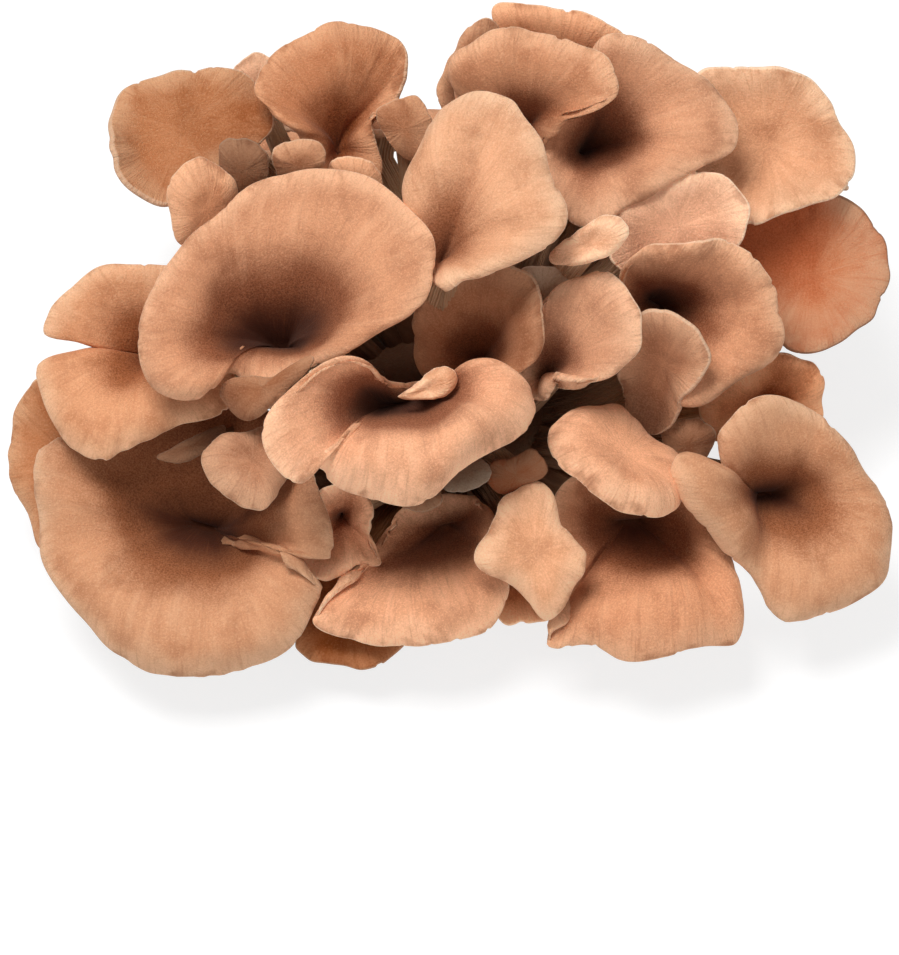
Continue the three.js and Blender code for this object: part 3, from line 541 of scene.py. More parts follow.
    def tuck_tone_and_shade(self, ribs: Ribs, skin: Array) -> Array:
        """How far each point of a cap lies towards the side that its stalk comes from, as depth that darkens
        it: partly darker skin, partly painted shade where it tucks under other fronds.

        Args:
            ribs: the frond's ribs.
            skin: the upper skin's points.

        Returns:
            A share for each point: 0 at the middle and beyond, up to TUCK_TONE_AND_SHADE at the side of the
                stalk.
        """
        side = ribs.throat - ribs.middle
        side = side - (side @ ribs.normal) * ribs.normal
        reach = float(ribs.spans().mean())
        offset = float(np.linalg.norm(side)) / reach
        toward = (skin - ribs.middle) @ unit(side) / reach if offset > 0.05 else np.zeros(skin.shape[:2])
        return TUCK_TONE_AND_SHADE * smooth(toward, -0.3, 1.1) * min(1.0, 2.0 * offset)

    def painted_shadow(self, ribs: Ribs, skin: Array) -> Array:
        """The painted shadow that the shadow side adds to the depth mark: it grows from the middle to that
        rim.
        """
        strength = math.hypot(*self.shadow_side)
        if strength == 0.0:
            return np.zeros(skin.shape[:2])
        near, far = self.face.place(np.array([[0.0, 0.0, 0.0], [*self.shadow_side, 0.0]]))
        toward = (skin - ribs.middle) @ unit(far - near) / float(ribs.spans().mean())
        return strength * smooth(toward, -0.2, 0.8)

    def surface(self) -> tuple[Array, tuple[Array, Array], dict[str, Array]]:
        """Works out the whole closed skin of the frond: upper side, rounded edge, under side and stalk.

        The edge is half an ellipse between the two skins, as far out as half their distance.

        Returns:
            The grid of points, its two poles, and the values for the materials.
        """
        build = self.grade.value
        rng = np.random.default_rng(zlib.crc32(self.name.encode()))
        ribs = self.ribs()
        last = 1.0 - 0.5 * build.rim / float(np.median(ribs.spans()))
        crowd = 1.0 - (1.0 - np.linspace(0.0, 1.0, build.upper_rows)) ** CROWDING
        places = FIRST_PLACE + (last - FIRST_PLACE) * crowd
        skin = self.skin(ribs, places, rng)
        under, openness = self.under_skin(ribs, places, skin, rng)

        half = 0.5 * (skin[-1] - under[-1])
        out = unit(skin[-1] - skin[-2]) * np.linalg.norm(half, axis=1, keepdims=True)
        turn = np.linspace(0.0, np.pi, EDGE_ROWS + 2)[1:-1, None, None]
        edge = skin[-1] - half + half * np.cos(turn) + out * np.sin(turn)

        rows = np.arange(build.upper_rows, dtype=float)
        collar = build.collar if self.cap is None else CAP_COLLAR
        picks = np.interp(np.linspace(last, collar, build.under_rows), places, rows)
        below = np.minimum(picks.astype(int), build.upper_rows - 2)
        share = (picks - below)[:, None, None]
        under = under[below] * (1.0 - share) + under[below + 1] * share
        openness = smooth(openness[below], 0.55, 0.9)
        under_places = np.interp(picks, rows, places)
        stalk, along, foot = self.stalk(ribs, under[-1], rng)

        # The depth below the crest darkens the colour: partly the skin's own darker throat, partly painted
        # shade in the hollow.
        hollow = 1.0 if self.cap is None else float(np.clip(-self.cap / FULL_HOLLOW, 0.0, 1.0))
        height = (skin - ribs.middle) @ ribs.normal
        sink = (np.maximum.accumulate(height[::-1], axis=0)[::-1] - height) * hollow

        grid = np.concatenate([skin, edge, under, stalk])
        inset = (1.0 - np.concatenate([places, np.ones(EDGE_ROWS), under_places]))[:, None] * ribs.spans()
        rim_mm = np.concatenate([inset, inset[-1] + along[:, None]])
        side = np.interp(np.arange(len(grid)), [len(skin) - 1, len(skin) + EDGE_ROWS], [0.0, 1.0])
        down_stalk = 1 + along / along[-1]
        depth = np.concatenate([(1 - places) * hollow, np.zeros(EDGE_ROWS), 1 - under_places, down_stalk])
        whole = np.ones(grid.shape[:2])
        depth = whole * depth[:, None]
        # The tucked side adds darker skin and painted shade, the shadow side painted shadow.
        depth[: len(skin)] += self.tuck_tone_and_shade(ribs, skin) + self.painted_shadow(ribs, skin)
        open_under = np.concatenate([whole[: len(skin) + EDGE_ROWS], openness, whole[-STALK_ROWS:]])
        radius = ribs.girth() / (2 * np.pi)
        circle = [np.cos(ribs.angles()) * radius * whole, np.sin(ribs.angles()) * radius * whole]
        marks = {
            "rim_mm": rim_mm,
            "under": open_under * side[:, None],
            "depth": depth,
            "sink": np.concatenate([sink, 0.0 * whole[len(skin) :]]),
            "fibre": np.stack([*circle, rim_mm], axis=-1),
            "gills": whole * round(ribs.girth() / FINE_GILL_GAP),
            "shade": whole * (self.shade + SHADE_CHANCE * rng.normal()),
            "warm": whole * self.warm,
        }
        return grid, (ribs.middle, foot - ribs.heading), marks

    def make(self, finishes: dict[Tone, bpy.types.Material]) -> bpy.types.Object:
        """Builds the frond, dresses it and puts it in place of its plain solid."""
        grid, poles, marks = self.surface()
        piece = skin_object(self.name, grid, poles, marks)
        piece.data.materials.append(finishes[self.tone])
        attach(piece, "root")
        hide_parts("frond_" + self.name)
        log.info("%s: %d rings of %d points", self.name, *grid.shape[:2])
        return piece


FRONDS = (
    Frond("crown_shell", Face.FRONT, Grade.LARGE, Tone.TAN,
          shade=1, warm=-2, throat=((-2, 17, 24),), rim=((-9, 41, 27, 7), (-5, 50, 29, 7),
          (0, 55, 30, 7), (7, 57, 31, 6), (14, 55.7, 32, 4), (17, 51, 34, 3), (22, 44, 37, 4),
          (26, 34, 39, 5), (26.5, 27, 39, 5), (21, 20, 40, 5), (12, 15.3, 41, 4), (4, 13, 40, 3),
          (-3, 11.5, 37, 2), (-6, 18, 30, 3), (-10, 30, 26, 6))),
    Frond("left_funnel", Face.FRONT, Grade.LARGE, Tone.BROWN,
          shade=1.5, throat=((-43, -1, 2), (-31, -2, 2)), rim=((-70, -3, 30, 4), (-69, 8, 29, 4),
          (-62, 21, 27, 3), (-51, 31, 26, 3), (-41, 38, 26, 3), (-29, 40, 27, 3), (-18, 38, 30, 3),
          (-9, 31, 34, 3), (-3, 23, 38, 3), (-3, 12, 40, 4), (-9, 4, 40, 4), (-19, -1, 36, 2),
          (-27, -3.5, 31, 1), (-35, -7, 25, 0), (-42, -8.5, 23, 0), (-47.5, -7, 26, 1),
          (-52, -12, 30, 4), (-58, -14, 31, 6), (-66, -11, 31, 6))),
    Frond("teardrop_cap", Face.FRONT, Grade.SMALL, Tone.TAN,
          cap=2.5, shade=7, warm=-2, throat=((-4.5, -8.5, 20),), rim=((-12.5, -12, 29, 2),
          (-9, -9, 32, 3), (-5, -5.5, 33, 3), (-1, -4, 33, 3), (2, -5.5, 33, 3), (2.3, -9, 32, 3),
          (-1, -12, 31, 3), (-6.5, -12.8, 30, 3))),
    Frond("collar_bud_left", Face.FRONT, Grade.SMALL, Tone.BROWN,
          cap=2, shade=-3, warm=6, throat=((-34, 38, 6),), rim=((-40, 42, 20, 1), (-38, 45, 20, 1),
          (-33, 46.3, 20, 1), (-29, 45.6, 20, 1), (-27, 43, 20, 1), (-28, 39, 18, 1), (-32, 35, 14, 0),
          (-38, 36, 14, 0))),
    Frond("front_kidney_cap", Face.FRONT, Grade.LARGE, Tone.BROWN,
          shade=6, warm=-4, throat=((-19, -14, 10), (-4, -12, 12)), rim=((-19, -4, 39, 1),
          (-26, -3, 43, 3), (-34, -7, 44, 4), (-40, -13, 44, 5), (-42, -20, 44, 5), (-40, -27, 44, 5),
          (-33, -31.5, 44, 4), (-27, -27, 43, 3), (-28, -31, 39, 8), (-23, -35, 38, 11),
          (-14, -37.3, 39, 12), (-5, -36, 40, 12), (3, -31, 40, 12), (10, -25.5, 38, 12),
          (17, -20.5, 35, 10), (19.8, -13, 33, 8), (18, -7, 32, 8), (12, -4, 31, 8), (6, -5.5, 27, 7),
          (2, -9, 20, 4), (-6, -8, 17, 0), (-14, -8, 26, 0))),
    Frond("front_right_scroll", Face.FRONT, Grade.LARGE, Tone.BROWN,
          cap=4, shade=6, warm=-2, throat=((40, -24, -6),), rim=((21, -21, 21, 8), (23, -28, 24, 10),
          (29, -33, 26, 11), (36, -38, 26, 11), (43.5, -40, 24, 11), (51, -38, 20, 9), (54, -31, 14, 6),
          (52, -24.5, 9, 3), (47, -21, 8, 1), (42, -17, 9, 1), (38, -13, 11, 2), (31, -12, 14, 4),
          (24, -15.5, 18, 7))),
    Frond("right_front_funnel", Face.FRONT, Grade.LARGE, Tone.TAN,
          shade=-1.5, warm=2, throat=((64, -33.5, -10), (75, -32.5, -10)), rim=((67, -11.5, 15, 3),
          (74, -10.3, 12, 3), (81, -13, 9, 3), (87, -19, 7, 3), (93, -25, 5, 3), (98, -30, 3, 4),
          (100, -38, 2, 4), (99, -47, 2, 5), (96.5, -54, 4, 5), (89, -60, 6, 5), (80, -63, 8, 5),
          (72, -62.3, 9, 5), (68, -57, 9, 5), (64, -49.5, 12, 6), (57, -43, 17, 8), (51, -37, 20, 9),
          (48, -29, 22, 9), (50.5, -23, 21, 8), (56.5, -24, 18, 4), (62, -32, 7, 1), (60.5, -28, 13, 0),
          (59, -22, 16, 2), (62, -16, 16, 3))),
    Frond("front_left_bowl", Face.FRONT, Grade.LARGE, Tone.TAN,
          shadow_side=(0.3, 1.5), shade=-1.5, warm=2, throat=((-62, -38, -14), (-46, -42, -14)),
          rim=((-90, -22, 3, 2), (-93.3, -30, 4, 3), (-93.5, -39, 4, 3), (-92.5, -49, 5, 3),
          (-87, -58, 7, 5), (-80, -66, 9, 6), (-70, -72, 11, 7), (-58, -75.8, 13, 8), (-46, -75, 14, 8),
          (-36, -69, 14, 7), (-29.5, -60, 15, 6), (-27, -53.5, 16, 4), (-36, -47.8, 17, 4),
          (-26, -48.7, 18, 3), (-25.5, -42, 18, 4), (-28, -33, 18, 4), (-33, -24, 12, 0),
          (-42, -14, 5, 0), (-58, -12, 1, 0), (-76, -15, 1, 0))),
    Frond("back_saddle", Face.FRONT, Grade.LARGE, Tone.BROWN,
          shade=1, warm=2, throat=((18, 48, -2),), rim=((-2, 57, 8, 4), (-1.5, 63, 11, 5),
          (3, 68.5, 13, 6), (10, 71, 14, 6), (18, 71.5, 14, 6), (27, 70, 15, 6), (34, 65.5, 16, 5),
          (38, 60, 17, 4), (38, 55, 18, 3), (33, 52, 17, 2), (27, 49.5, 13, 1), (21, 44, 8, 0),
          (12, 44, 4, 0), (3, 51, 4, 2))),
    Frond("centre_right_fan", Face.FRONT, Grade.LARGE, Tone.BROWN,
          shade=2, warm=-4, throat=((21, -8, 6),), rim=((20, 10, 20, 1), (25, 14.3, 23, 1),
          (31, 17, 26, 2), (36, 16.7, 28, 3), (40, 12.5, 29, 3), (43, 7, 30, 3), (43, 0, 31, 3),
          (39.5, -5.5, 31, 3), (34, -9, 30, 3), (28, -9, 28, 2), (24, -9.5, 24, 1), (20, -13, 16, 0),
          (17, -8, 13, 0), (18, 1, 16, 0))),
    Frond("top_tall_fan", Face.FRONT, Grade.LARGE, Tone.BROWN,
          shade=-1.5, warm=8, throat=((-25, 42, -4),), rim=((-44.5, 59, 12, 3), (-43, 54, 14, 4),
          (-39, 49.5, 14, 4), (-35, 46, 12, 2), (-31, 38, 8, 0), (-24, 32, 4, 0), (-17, 33, 3, 0),
          (-15, 41, 3, 0), (-17, 50, 4, 0), (-13, 56, 6, -3), (-10.5, 62, 6, -3), (-10, 68, 5, 0),
          (-15, 72, 5, 3), (-23, 73.3, 6, 4), (-31, 71, 8, 4), (-39, 67, 10, 3))),
    Frond("top_left_fan", Face.FRONT, Grade.LARGE, Tone.TAN,
          cap=-3, shade=-5, warm=14, throat=((-50, 42, -8),), rim=((-75, 48, 16, -4), (-75, 54, 10, 0),
          (-71, 59, 8, 2), (-63, 61, 7, 2), (-53, 62.5, 5, 2), (-45, 61, 4, 2), (-40, 56, 4, 2),
          (-39, 49, 6, 2), (-43, 44, 7, 1), (-50, 39, 8, 0), (-58, 34, 12, -2), (-65, 33, 16, -5),
          (-71, 36.5, 18, -6), (-74, 42, 18, -6))),
    Frond("front_folded_flap", Face.FRONT, Grade.MEDIUM, Tone.TAN,
          cap=3, shade=4.5, throat=((18, -42, 8),), rim=((12, -33.5, 22, 1), (19, -29.5, 21, 1),
          (23, -32, 20, 1), (25.5, -39, 20, 2), (31.5, -46, 20, 2), (29.5, -53, 20, 3),
          (25, -60.5, 18, 3), (20.5, -62, 17, 3), (14.5, -56, 19, 3), (7, -51.5, 22, 3),
          (5.5, -46, 24, 3), (9.5, -37.5, 24, 2))),
    Frond("left_split_fan", Face.FRONT, Grade.LARGE, Tone.TAN,
          shadow_side=(0.4, -0.3), shade=0.5, warm=4, throat=((-62, -3, -8),), rim=((-92, 2, 4, 2),
          (-89, 9, 4, 3), (-83, 16, 5, 3), (-74, 19.7, 6, 3), (-65, 19, 7, 2), (-57, 14, 8, 0),
          (-52, 5, 10, 0), (-48, -6, 14, 0), (-49, -14.5, 18, 2), (-60, -20, 18, 5),
          (-70, -23.5, 16, 6), (-79, -26.3, 14, 6), (-87, -23.5, 12, 6), (-91.5, -15, 10, 5),
          (-93.3, -5, 7, 3), (-86, -2.2, 3, 1), (-77, -2, 0, 0), (-86, 0.2, 3, 1))),
    Frond("front_centre_scoop", Face.FRONT, Grade.LARGE, Tone.BROWN,
          shadow_side=(0, 0.8), shade=7, warm=-2, throat=((-8, -42, -9), (6, -38, -9)), rim=((-31, -61, 15, 1),
          (-26, -66.2, 14, 4), (-17, -68.3, 14, 6), (-7, -68.2, 14, 7), (2, -67.2, 14, 7),
          (10, -64, 14, 6), (14.5, -57, 15, 5), (13, -48, 16, 4), (12, -40, 12, 2), (7, -35, 1, 0),
          (-3, -33.5, -4, 0), (-11, -37, -4, 0), (-17, -44, 2, 0), (-22, -52, 10, 0))),
    Frond("front_right_skirt", Face.FRONT, Grade.LARGE, Tone.BROWN,
          shade=2.5, warm=2, throat=((32, -39, -10), (48, -38, -10)), rim=((24.5, -59, 12, 2),
          (21, -68, 13, 2), (30, -68.5, 14, 5), (38, -71, 15, 6), (48, -71, 15, 6), (57, -68.5, 14, 6),
          (65, -68, 12, 5), (67.5, -61, 10, 5), (65.5, -52, 8, 4), (61, -42, 6, 2), (53, -32, 3, 0),
          (41, -27, 2, 0), (30, -28, 4, 0), (23, -35, 7, 0), (23, -47, 10, 0))),
    Frond("left_drop_cap", Face.FRONT, Grade.MEDIUM, Tone.BROWN,
          cap=3, shade=-3, throat=((-40, -20, 8),), rim=((-55.5, -24, 22, 3), (-51, -19.5, 22, 3),
          (-45, -18.7, 20, 2), (-39, -17, 15, 0), (-36, -21, 14, 0), (-35.5, -30, 21, 2),
          (-38, -35, 25, 4), (-42, -38, 26, 5), (-48, -36.5, 26, 5), (-53, -33, 25, 5),
          (-56, -28, 24, 4))),
    Frond("right_dark_funnel", Face.FRONT, Grade.LARGE, Tone.BROWN,
          shade=2, throat=((42, 12, -12), (48, 8, -13)), rim=((38, 17, 12, 0), (42, 21, 17, 0),
          (50, 22.2, 18, 0), (57, 23.3, 18, 1), (63, 23.3, 16, 2), (69, 19.5, 14, 3), (73.5, 13, 12, 3),
          (75.5, 6, 10, 4), (75, -1, 9, 5), (70, -6.5, 9, 5), (62, -11.5, 10, 5), (54, -15, 10, 4),
          (47, -15, 6, 2), (41, -9, 2, 0), (37, 4, 3, 0))),
    Frond("back_right_funnel", Face.FRONT, Grade.LARGE, Tone.BROWN,
          shade=1.5, warm=-2, throat=((28, 42, -14),), rim=((35, 69.5, 9, 2), (41, 70, 8, 3),
          (49, 67, 6, 4), (57, 61.5, 5, 4), (62.5, 56, 5, 4), (65.5, 49.5, 6, 4), (64, 43.5, 7, 3),
          (58, 39.5, 8, 3), (49, 34.5, 10, 3), (40, 29.5, 12, 2), (31, 26, 12, 1), (24, 30, 9, 0),
          (21, 40, 6, 0), (23, 52, 5, 0), (29, 63, 7, 1))),
    Frond("right_rust_funnel", Face.FRONT, Grade.LARGE, Tone.RUST,
          cap=-6, shadow_side=(-0.8, 0.6), shade=0.5, warm=0, throat=((77, 17, -26),), rim=((72, 30, -9, 0),
          (81, 33, -9, 1), (88, 33.3, -10, 1), (94, 29, -12, 2), (98.5, 23.5, -13, 3),
          (99.3, 17, -12, 4), (98, 11, -11, 5), (95, 5.5, -9, 5), (90, 2, -7, 6), (84, -1.5, -5, 6),
          (78, -1, -4, 4), (73, 3, -5, 1), (68, 10, -8, 0), (65, 20, -10, 0), (66, 27, -10, 0))),
    Frond("right_wide_funnel", Face.FRONT, Grade.LARGE, Tone.TAN,
          cap=-5, shade=1.5, throat=((64, 44, -20),), rim=((57, 61.5, -4, 1), (65, 62, -5, 2),
          (74, 62.5, -6, 3), (82, 59, -7, 3), (88, 52, -9, 3), (91.5, 44, -9, 3), (91, 37.5, -7, 3),
          (87, 33.3, -5, 4), (80, 31, -3, 5), (73, 28.6, -1, 5), (66, 27.5, -1, 3), (60, 33, -3, 1),
          (55, 42, -5, 0), (53, 53, -5, 0))),
    Frond("right_flat_fan", Face.FRONT, Grade.MEDIUM, Tone.BROWN,
          cap=-2, shade=7.5, warm=-10, throat=((43, 21, -4),), rim=((37.5, 30, 10, 1), (45, 35.5, 9, 1),
          (53, 38.5, 8, 1), (58, 39, 7, 1), (63, 37, 7, 1), (66.5, 33, 7, 1), (67, 28, 7, 2),
          (65, 22, 7, 1), (58, 17, 6, 0), (48, 14, 6, 0), (40, 15, 7, 0), (36, 20, 9, 0))),
    Frond("centre_dark_funnel", Face.FRONT, Grade.LARGE, Tone.BROWN,
          shade=-5, warm=6, throat=((7, -6, -2),), rim=((14, 17, 26, 0), (18.5, 14.5, 28, 0),
          (20.5, 9, 29, 1), (21.2, 3, 29, 1), (20.5, -3, 28, 2), (18, -6.5, 26, 2), (11, -11, 20, 0),
          (2, -12, 14, 0), (-6, -8, 12, 0), (-9, 0, 15, 0), (-8, 8, 19, 0), (-3, 14, 22, 0),
          (6, 18, 24, 0))),
    Frond("tongue_cap", Face.FRONT, Grade.SMALL, Tone.TAN,
          cap=2, shade=8, warm=-6, throat=((31, 22.5, 20),), rim=((22, 20.5, 27, 1), (27, 25, 33, 3),
          (33, 28.8, 35, 3), (38, 29, 35, 3), (41, 26, 34, 3), (39.5, 22, 34, 3), (34.5, 18.5, 33, 3),
          (28, 16.8, 30, 3), (22.5, 17.5, 26, 1))),
    Frond("top_left_small_funnel", Face.FRONT, Grade.MEDIUM, Tone.BROWN,
          cap=3, shade=2, warm=4, throat=((-49, 30, 0),), rim=((-64, 33, 22, 3), (-63, 27, 20, 3),
          (-60, 21, 16, 2), (-53, 19, 13, 0), (-46, 24, 13, 0), (-45.5, 31, 15, 1), (-47.5, 37, 19, 2),
          (-52, 41.5, 21, 2), (-57, 42.3, 22, 3), (-62, 38, 23, 3))),
    Frond("collar_bud_far", Face.FRONT, Grade.SMALL, Tone.BROWN,
          cap=2, shade=-12, warm=10, throat=((-44, 32, 2),), rim=((-52, 43.5, 17, 1), (-50, 46, 17, 1),
          (-45.5, 46.5, 17, 1), (-41.5, 44.5, 17, 1), (-40, 41, 16, 0), (-41, 35, 13, 0),
          (-46, 31, 11, 0), (-51, 36, 13, 0))),
    Frond("left_curl_cap", Face.FRONT, Grade.SMALL, Tone.BROWN,
          cap=2, shade=-9, warm=10, throat=((-43, -11, 12),), rim=((-51.5, -12, 26, 2),
          (-50, -8, 28, 1), (-45, -6.5, 29, 0), (-39, -6.5, 30, 0), (-31, -2, 34, 0), (-30, -5, 35, 1),
          (-37, -12, 33, 1), (-41.5, -16.5, 29, 2), (-47, -17.5, 26, 2))),
    Frond("inner_right_fan", Face.FRONT, Grade.MEDIUM, Tone.BROWN,
          cap=-3, shade=-2, throat=((45, -12, 0),), rim=((42, 5.5, 21, 1), (47, 7.5, 23, 2),
          (52, 5.3, 23, 2), (56, 1, 22, 2), (58, -4, 20, 2), (55, -8, 18, 1), (51, -12, 13, 0),
          (49, -18, 7, 0), (45, -21, 2, 0), (40, -17, 2, 0), (38, -8, 8, 0), (39, 0, 16, 0))),
    Frond("right_under_fan", Face.FRONT, Grade.MEDIUM, Tone.BROWN,
          shade=7, warm=10, throat=((68, -13, -22),), rim=((74, -2.5, -9, 0), (81, -3, -10, 1),
          (84.5, -6, -11, 2), (85, -11, -12, 2), (84.5, -17, -13, 1), (79, -23, -14, 0),
          (69, -25, -14, 0), (60, -22, -11, 0), (56, -15, -8, 0), (62, -8, -7, 0))),
    Frond("far_left_fan", Face.FRONT, Grade.MEDIUM, Tone.TAN,
          shade=-3.5, warm=14, throat=((-77, -27, -18),), rim=((-90, -7, -8, 0), (-95.5, -9.7, -10, 1),
          (-99, -15, -12, 2), (-100.5, -22, -13, 3), (-99.3, -30, -13, 3), (-96.3, -38, -12, 3),
          (-92, -47, -10, 2), (-84, -44, -10, 0), (-76, -36, -10, 0), (-72, -24, -10, 0),
          (-76, -12, -9, 0))),
    Frond("back_ridge_fan", Face.FRONT, Grade.MEDIUM, Tone.BROWN,
          shade=3, warm=6, throat=((24, 57, -14),), rim=((8.5, 73, 0, 1), (10.5, 76.5, 1, 2),
          (16, 77, 2, 2), (24, 76, 2, 2), (32, 74, 2, 2), (39, 70.5, 1, 2), (42, 64, -1, 1),
          (38, 57, -4, 0), (28, 53, -7, 0), (16, 56, -7, 0), (10, 64, -4, 0))),
    Frond("back_low_middle", Face.BACK, Grade.LARGE, Tone.BROWN,
          throat=((-3, -40, 26),), rim=((-23, -39, 37, 2), (-26, -52, 40, 3), (-22, -63, 42, 5),
          (-11, -70, 44, 6), (2, -69, 44, 5), (13, -71, 44, 5), (22, -63, 43, 5), (25, -51, 41, 3),
          (21, -39, 40, 2), (11, -31, 40, 0), (-1, -29, 40, 0), (-13, -30, 38, 0))),
    Frond("back_low_left", Face.BACK, Grade.LARGE, Tone.BROWN,
          shade=0.5, throat=((31, -35, 24),), rim=((23, -44, 38, 1), (26, -57, 41, 3), (35, -66, 41, 5),
          (47, -66, 38, 6), (57, -58, 34, 5), (61, -45, 32, 3), (56, -32, 34, 2), (45, -24, 37, 1),
          (32, -24, 38, 0), (24, -33, 38, 0))),
    Frond("back_low_right", Face.BACK, Grade.LARGE, Tone.BROWN,
          shade=-0.5, throat=((-34, -46, 23),), rim=((-23, -46, 37, 1), (-26, -58, 39, 3),
          (-36, -66, 39, 5), (-48, -67, 37, 6), (-58, -60, 34, 5), (-61, -48, 33, 4), (-56, -36, 35, 2),
          (-46, -28, 38, 1), (-34, -27, 39, 0), (-25, -35, 38, 0))),
    Frond("back_mid_left", Face.BACK, Grade.LARGE, Tone.BROWN,
          shade=2, throat=((15, -16, 33),), rim=((9, -22, 46, 1), (13, -32, 48, 3), (24, -36, 47, 4),
          (35, -32, 45, 4), (39, -21, 43, 3), (37, -9, 43, 2), (28, 0, 43, 1), (17, -1, 43, 0),
          (9, -10, 45, 0))),
    Frond("back_mid_right", Face.BACK, Grade.LARGE, Tone.BROWN,
          shade=2, throat=((-31, -27, 31),), rim=((-20, -29, 46, 1), (-26, -39, 48, 3),
          (-38, -43, 49, 4), (-50, -37, 48, 4), (-55, -27, 47, 3), (-51, -15, 47, 2), (-40, -9, 47, 1),
          (-28, -10, 47, 0), (-20, -18, 46, 0))),
    Frond("back_side_left", Face.BACK, Grade.MEDIUM, Tone.BROWN,
          throat=((52, -30, 20),), rim=((50, -41, 33, 1), (56, -51, 34, 3), (66, -53, 33, 4),
          (73, -46, 32, 4), (74, -36, 33, 3), (68, -27, 35, 2), (58, -24, 36, 1), (50, -30, 35, 0))),
    Frond("back_side_right", Face.BACK, Grade.MEDIUM, Tone.BROWN,
          throat=((-59, -40, 20),), rim=((-61, -46, 31, 1), (-67, -56, 32, 3), (-78, -58, 31, 4),
          (-88, -51, 30, 4), (-91, -40, 30, 3), (-86, -29, 32, 2), (-76, -24, 33, 1), (-66, -26, 33, 0),
          (-60, -35, 32, 0))),
    Frond("top_gap_fan", Face.FRONT, Grade.SMALL, Tone.BROWN,
          cap=1.5, shade=-4, warm=8, throat=((-9, 43, 2),), rim=((-17, 52, 10, 1), (-14, 54.5, 10, 1),
          (-9, 56, 10, 1), (-6, 55, 10, 1), (-4, 51, 11, 1), (-4, 45, 10, 0), (-6, 40, 8, 0),
          (-10.5, 41, 7, 0), (-15, 46.5, 9, 0))),
    Frond("front_low_fan", Face.FRONT, Grade.MEDIUM, Tone.BROWN,
          shade=-7, warm=24, throat=((-22, -54, -6),), rim=((-34.5, -66, 6, 0), (-32, -70.3, 6, 1),
          (-26, -72.2, 6, 2), (-17, -72.8, 7, 2), (-11.5, -69, 6, 1), (-7, -62, 3, 0),
          (-12, -53, -1, 0), (-22, -49, -2, 0), (-31, -54, 0, 0))),
    Frond("front_gap_fan", Face.FRONT, Grade.MEDIUM, Tone.BROWN,
          shade=7, warm=-2, throat=((-24, -37, -4),), rim=((-29, -33, 12, 0), (-20, -31, 10, 0),
          (-17.5, -38, 8, 0), (-17.5, -43, 7, 0), (-14.5, -48.7, 8, 0), (-20, -50.3, 10, 1),
          (-27, -53.3, 11, 1), (-33, -50, 9, 0), (-35, -42, 8, 0))),
    Frond("back_lobe", Face.FRONT, Grade.SMALL, Tone.BROWN,
          shade=-3, warm=4, throat=((4, 52, -8),), rim=((-3, 54, 0, 1), (-2.5, 60, 1, 1),
          (0.5, 66, 3, 1), (3, 71, 5, 2), (7, 73.7, 6, 2), (11, 72, 5, 1), (13, 64, 3, 0),
          (12, 54, 0, 0), (4, 48, -3, 0))),
    Frond("pale_sliver", Face.FRONT, Grade.SMALL, Tone.PALE,
          cap=2, shade=-1, warm=12, throat=((18, 5, 5),), rim=((15, 16.5, 16, 0), (20, 17.8, 17, 0),
          (26, 16.5, 17, 0), (27, 13, 16, 0), (24, 8, 13, 0), (19, 6, 12, 0), (16, 11, 14, 0))),
    Frond("collar_bud_right", Face.FRONT, Grade.SMALL, Tone.BROWN,
          cap=2, shade=2, warm=6, throat=((-19, 32, 4),), rim=((-27, 41, 17, 1), (-22, 42.3, 17, 1),
          (-17.5, 41.3, 16, 1), (-14.5, 37.5, 14, 1), (-15, 32, 11, 0), (-22, 31, 9, 0),
          (-27, 35, 12, 0))),
    Frond("top_left_bud", Face.FRONT, Grade.SMALL, Tone.BROWN,
          cap=2, shade=3, warm=-6, throat=((-43, 57, -8),), rim=((-49, 61, -3, 0), (-45.5, 65, -2, 0),
          (-42.5, 66, -2, 0), (-38, 63, -3, 0), (-38, 57, -5, 0), (-45, 53, -6, 0))),
    Frond("left_gap_bud", Face.FRONT, Grade.SMALL, Tone.BROWN,
          cap=1.5, shade=-13, warm=12, throat=((-55, -20, 4),), rim=((-66, -24.7, 12, 1),
          (-61, -22, 13, 1), (-55, -19, 14, 1), (-50, -17.7, 13, 0), (-50, -21, 12, 0),
          (-54, -24.5, 14, 1), (-60, -27, 14, 2), (-65, -26.3, 13, 1))),
    Frond("right_gap_bud", Face.FRONT, Grade.SMALL, Tone.BROWN,
          cap=2, shade=-6, warm=6, throat=((54, -22, -10),), rim=((47, -19.5, 2, 0), (51, -16.5, 3, 1),
          (56, -16, 4, 1), (59.5, -18.5, 3, 1), (60, -22, 1, 0), (56, -27, -2, 0), (49, -26, -3, 0))),
    Frond("front_under_fan", Face.FRONT, Grade.SMALL, Tone.BROWN,
          shade=7, warm=8, throat=((15, -48, -8),), rim=((11, -61.5, 4, 0), (17, -62.5, 5, 1),
          (23, -61.5, 5, 1), (26, -56, 4, 0), (22, -48, 0, 0), (14, -44, -2, 0), (9, -52, 0, 0))),
    Frond("front_curl_bud", Face.FRONT, Grade.SMALL, Tone.RUST,
          cap=2, shade=-11, warm=12, throat=((13, -27, 10),), rim=((9, -26, 22, 0), (13, -25.3, 25, 1),
          (18, -22.6, 26, 2), (21.5, -25, 25, 2), (22.5, -29, 23, 1), (19, -31, 21, 0),
          (12, -34, 19, 0), (8, -31, 20, 0))),
    Frond("pale_inner_bud", Face.FRONT, Grade.SMALL, Tone.PALE,
          cap=2, shade=-12, warm=16, throat=((4, -29, 12),), rim=((-1, -33.3, 25, 1), (4, -33.3, 26, 1),
          (8.5, -31.3, 26, 1), (10, -28, 26, 1), (7, -25, 24, 0), (2, -25.5, 23, 0), (-3, -29, 23, 0))),
    Frond("dark_inner_bud", Face.FRONT, Grade.SMALL, Tone.BROWN,
